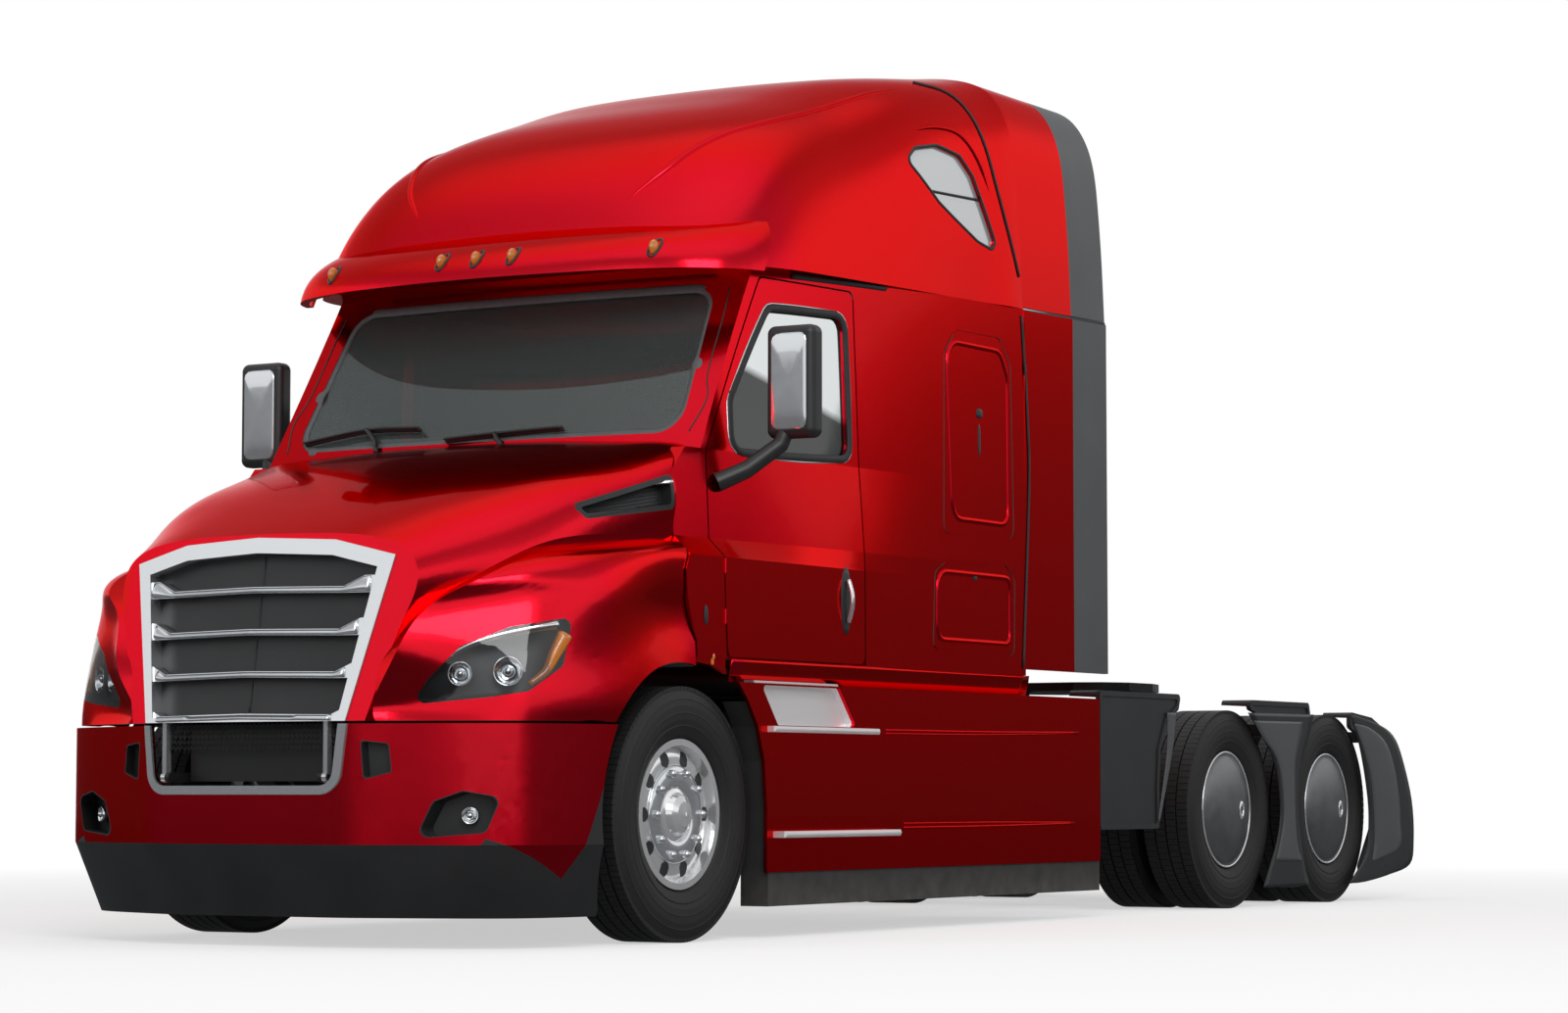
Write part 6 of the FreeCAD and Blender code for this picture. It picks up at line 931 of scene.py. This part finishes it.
# Fairings between and behind the drive wheels: the outer skins of the moulded panels, black with a raised
# charcoal field; the bracket ahead of the wheels has a charcoal rear edge.
black_skins = (
    ([(6.621, 1.002), (6.770, 0.899), (6.920, 0.786), (6.992, 0.662), (7.022, 0.485), (6.974, 0.344),
      (6.873, 0.204), (6.792, 0.100)],
     [(7.473, 1.007), (7.419, 0.907), (7.333, 0.789), (7.275, 0.663), (7.256, 0.484), (7.288, 0.340),
      (7.338, 0.196), (7.399, 0.100)]),
    ([(7.990, 1.010), (8.040, 0.943), (8.113, 0.851), (8.195, 0.665), (8.238, 0.478), (8.207, 0.292),
      (8.091, 0.183), (7.945, 0.100)],
     [(8.000, 1.016), (8.403, 0.966), (8.627, 0.894), (8.765, 0.742), (8.876, 0.532), (8.894, 0.321),
      (8.832, 0.189), (8.524, 0.137), (8.176, 0.104), (7.950, 0.098)]))
grey_fields = (
    ([(6.680, 0.962), (6.800, 0.873), (6.951, 0.786), (7.032, 0.662), (7.058, 0.485), (7.019, 0.361),
      (6.949, 0.238)],
     [(7.320, 0.965), (7.285, 0.878), (7.215, 0.752), (7.205, 0.609), (7.213, 0.430), (7.241, 0.305),
      (7.289, 0.232)]),
    ([(8.030, 0.963), (8.128, 0.869), (8.245, 0.702), (8.298, 0.515), (8.307, 0.328), (8.268, 0.213)],
     [(8.040, 0.967), (8.254, 0.946), (8.475, 0.873), (8.601, 0.742), (8.671, 0.571), (8.687, 0.438),
      (8.671, 0.286), (8.290, 0.216)]),
    ([(5.632, 0.985), (5.631, 0.826), (5.588, 0.659), (5.515, 0.450)],
     [(5.735, 0.985), (5.698, 0.827), (5.630, 0.659), (5.535, 0.450)]))
skin_face, field_face = 1.2690, 1.2720
skins = [plate_between(first, last, skin_face, 0.0015, 0.006) for first, last in black_skins]
fields = [plate_between(first, last, field_face, 0.003, 0.004) for first, last in grey_fields]
piece("fairing_skins", both(skins), black_plastic, "chassis")
piece("fairing_fields", both(fields), grey_plastic, "chassis")


def folded(section, start, end, count, swell=1.0, middle=0.0):
    """A cover folded to a closed section of (out, up) and run along the truck; at each place its width about
    the middle is times the swell."""
    section = np.asarray(section, float)
    along = np.linspace(start, end, count)[:, None] + 0 * section[None, :, 0]
    out = middle + (section[None, :, 0] - middle) * np.broadcast_to(swell, count)[:, None]
    return capped(ahead(np.stack([along, out, 0 * along + section[None, :, 1]], -1)))


# Sill valances: a pressed red panel under the cab floor that closes the joint to the side fairing.
valance = [(1.221, 1.1295), (1.220, 1.118), (1.216, 1.095), (1.209, 1.068), (1.202, 1.040), (1.188, 1.038),
           (1.195, 1.068), (1.202, 1.095), (1.206, 1.118), (1.207, 1.1295)]
piece("sill_valances", both([folded(valance, 1.62, 4.24, 30)]), red_paint, "chassis")

# Side fairings: two tapered swages pressed outwards behind the treads, in the panel's own paint.
fairing_face = 1.2675
swages = (([(2.800, 0.858), (3.700, 0.862), (4.650, 0.872)], 0.0055),
          ([(2.800, 0.843), (3.700, 0.850), (4.650, 0.868)], 0.0045),
          ([(2.960, 0.440), (3.800, 0.441), (4.600, 0.447)], 0.0055),
          ([(2.960, 0.458), (3.800, 0.457), (4.600, 0.451)], 0.0045))
shells = []
for line, thick in swages:
    way = smooth_line(line, 30)
    path = ahead(np.column_stack([way[:, 0], np.full(30, fairing_face), way[:, 1]]))
    shells.append(tube(path, thick, (0, 1.0, 0), sides=10, flatness=0.7))
piece("fairing_swages", both(shells), red_paint, "chassis")

# Pillar fairings beside the windscreen: a moulded cover in body colour; its joint shows as a thin dark line.
pillar = [(2.858, 1.032, 2.061), (2.760, 1.060, 2.200), (2.706, 1.027, 2.316), (2.560, 1.010, 2.560),
          (2.473, 0.993, 2.700)]
inward = np.array((-1.0, -0.25, 0.0))
path, facing = landing(("cab_shell",), smooth_line(pillar, 30) - inward, inward / np.linalg.norm(inward))
piece("pillar_joints", both([tube(path, 0.0035, facing, sides=6)]), gasket_rubber, "chassis")

# Visor lamps: black moulded bezels round the five amber lenses.
shells = []
turn = np.linspace(0, 2 * np.pi, 24, endpoint=False)
for out in (0.0, 0.182, 0.828):
    loop = np.column_stack([out + 0.0215 * np.cos(turn), 2.835 + 0.040 * np.sin(turn)])
    path, facing = from_front(("sun_visor", "small_lamps"), loop)
    bezel = [tube(path, 0.0065, facing, closed=True, flatness=0.8)]
    shells += both(bezel) if out else bezel
piece("lamp_bezels", shells, black_plastic, "chassis")

# Joint between the upper and the lower side extenders: a foam strip behind a black rubber lip fills it.
shells = []
for out, thick in ((1.214, 0.011), (1.200, 0.013)):
    path = ahead(np.linspace((4.215, out, 2.823), (5.055, out, 2.853), 24))
    shells.append(tube(path, thick, (0, 1.0, 0), sides=10))
piece("extender_joint_strips", both(shells), gasket_rubber, "chassis")

# Sleeper side doors: a bead pressed round each door panel, 30 mm inside its joint, in the panel's own paint.
tall_panel = [(3.500, 1.815), (3.470, 2.560), (3.530, 2.612), (3.960, 2.612), (4.035, 2.500), (4.035, 1.815)]
low_panel = [(3.352, 1.268), (3.352, 1.530), (3.400, 1.572), (4.045, 1.572), (4.045, 1.268)]
shells = []
for corners, radius in ((tall_panel, 0.070), (low_panel, 0.045)):
    path, facing = from_side(("cab_shell",), even(rounded_loop(corners, radius), 0.030))
    shells.append(tube(path - facing * 0.004, 0.015, facing, sides=12, closed=True, flatness=0.7))
piece("locker_beads", both(shells), red_paint, "chassis")

# Trunking on the frame rails: a folded black cover over the cables and air pipes between rail and cab floor,
# with a joint every fourth step.
cover = [(0.428, 1.0175), (0.430, 1.118), (0.424, 1.126), (0.396, 1.126), (0.390, 1.118), (0.392, 1.0175)]
joints = 1.0 + 0.02 * (np.arange(60) % 4 == 0)
piece("rail_trunking", both([folded(cover, 1.36, 4.19, 60, joints, 0.41)]), black_plastic, "chassis")

# Bonnet bars: a chromed blade is clipped over each bar, rounded towards the front, so its upper half mirrors the
# room's light and its lower half the floor. It is widest in the wings at both ends.
grille_half, grille_foot, grille_height, bar_pitch = 0.628, 0.862, 0.713, 0.16325
blade_gap, blade_bulge, blade_depth, blade_end = 0.002, 0.013, 0.010, 0.066
shells = []
for number in range(4):
    foot = grille_foot + number * bar_pitch
    reach = grille_half * np.interp(number * bar_pitch / grille_height, (0.0, 0.885), (0.773, 1.0)) - blade_end
    out = np.linspace(-reach, reach, 73)[:, None]
    share = np.abs(out) / grille_half
    low = foot + bar_pitch * np.interp(share, (0.0, 0.66, 1.0), (0.05, 0.0, 0.0)) + blade_gap
    high = foot + bar_pitch * np.interp(share, (0.0, 0.66, 0.80, 1.0), (0.19, 0.15, 0.40, 0.40)) - blade_gap
    across = np.linspace(0.0, 1.0, 9)[None]
    level = low * (1 - across) + high * across
    lower, upper = (from_front(("grille",), np.column_stack([out, low * (1 - part) + high * part]))[0][:, :1]
                    for part in (0.25, 0.75))
    seat = lower + (upper - lower) * (across - 0.25) / 0.5
    front = np.stack([seat + blade_gap + blade_bulge * np.sin(np.pi * across ** 0.6) ** 0.8,
                      np.broadcast_to(out, level.shape), level], -1)
    behind = front[:, [-1, 0]] - (blade_depth, 0, 0)
    shells.append(capped(np.concatenate([front, behind], 1)))
piece("bar_blades", shells, chrome, "hood")
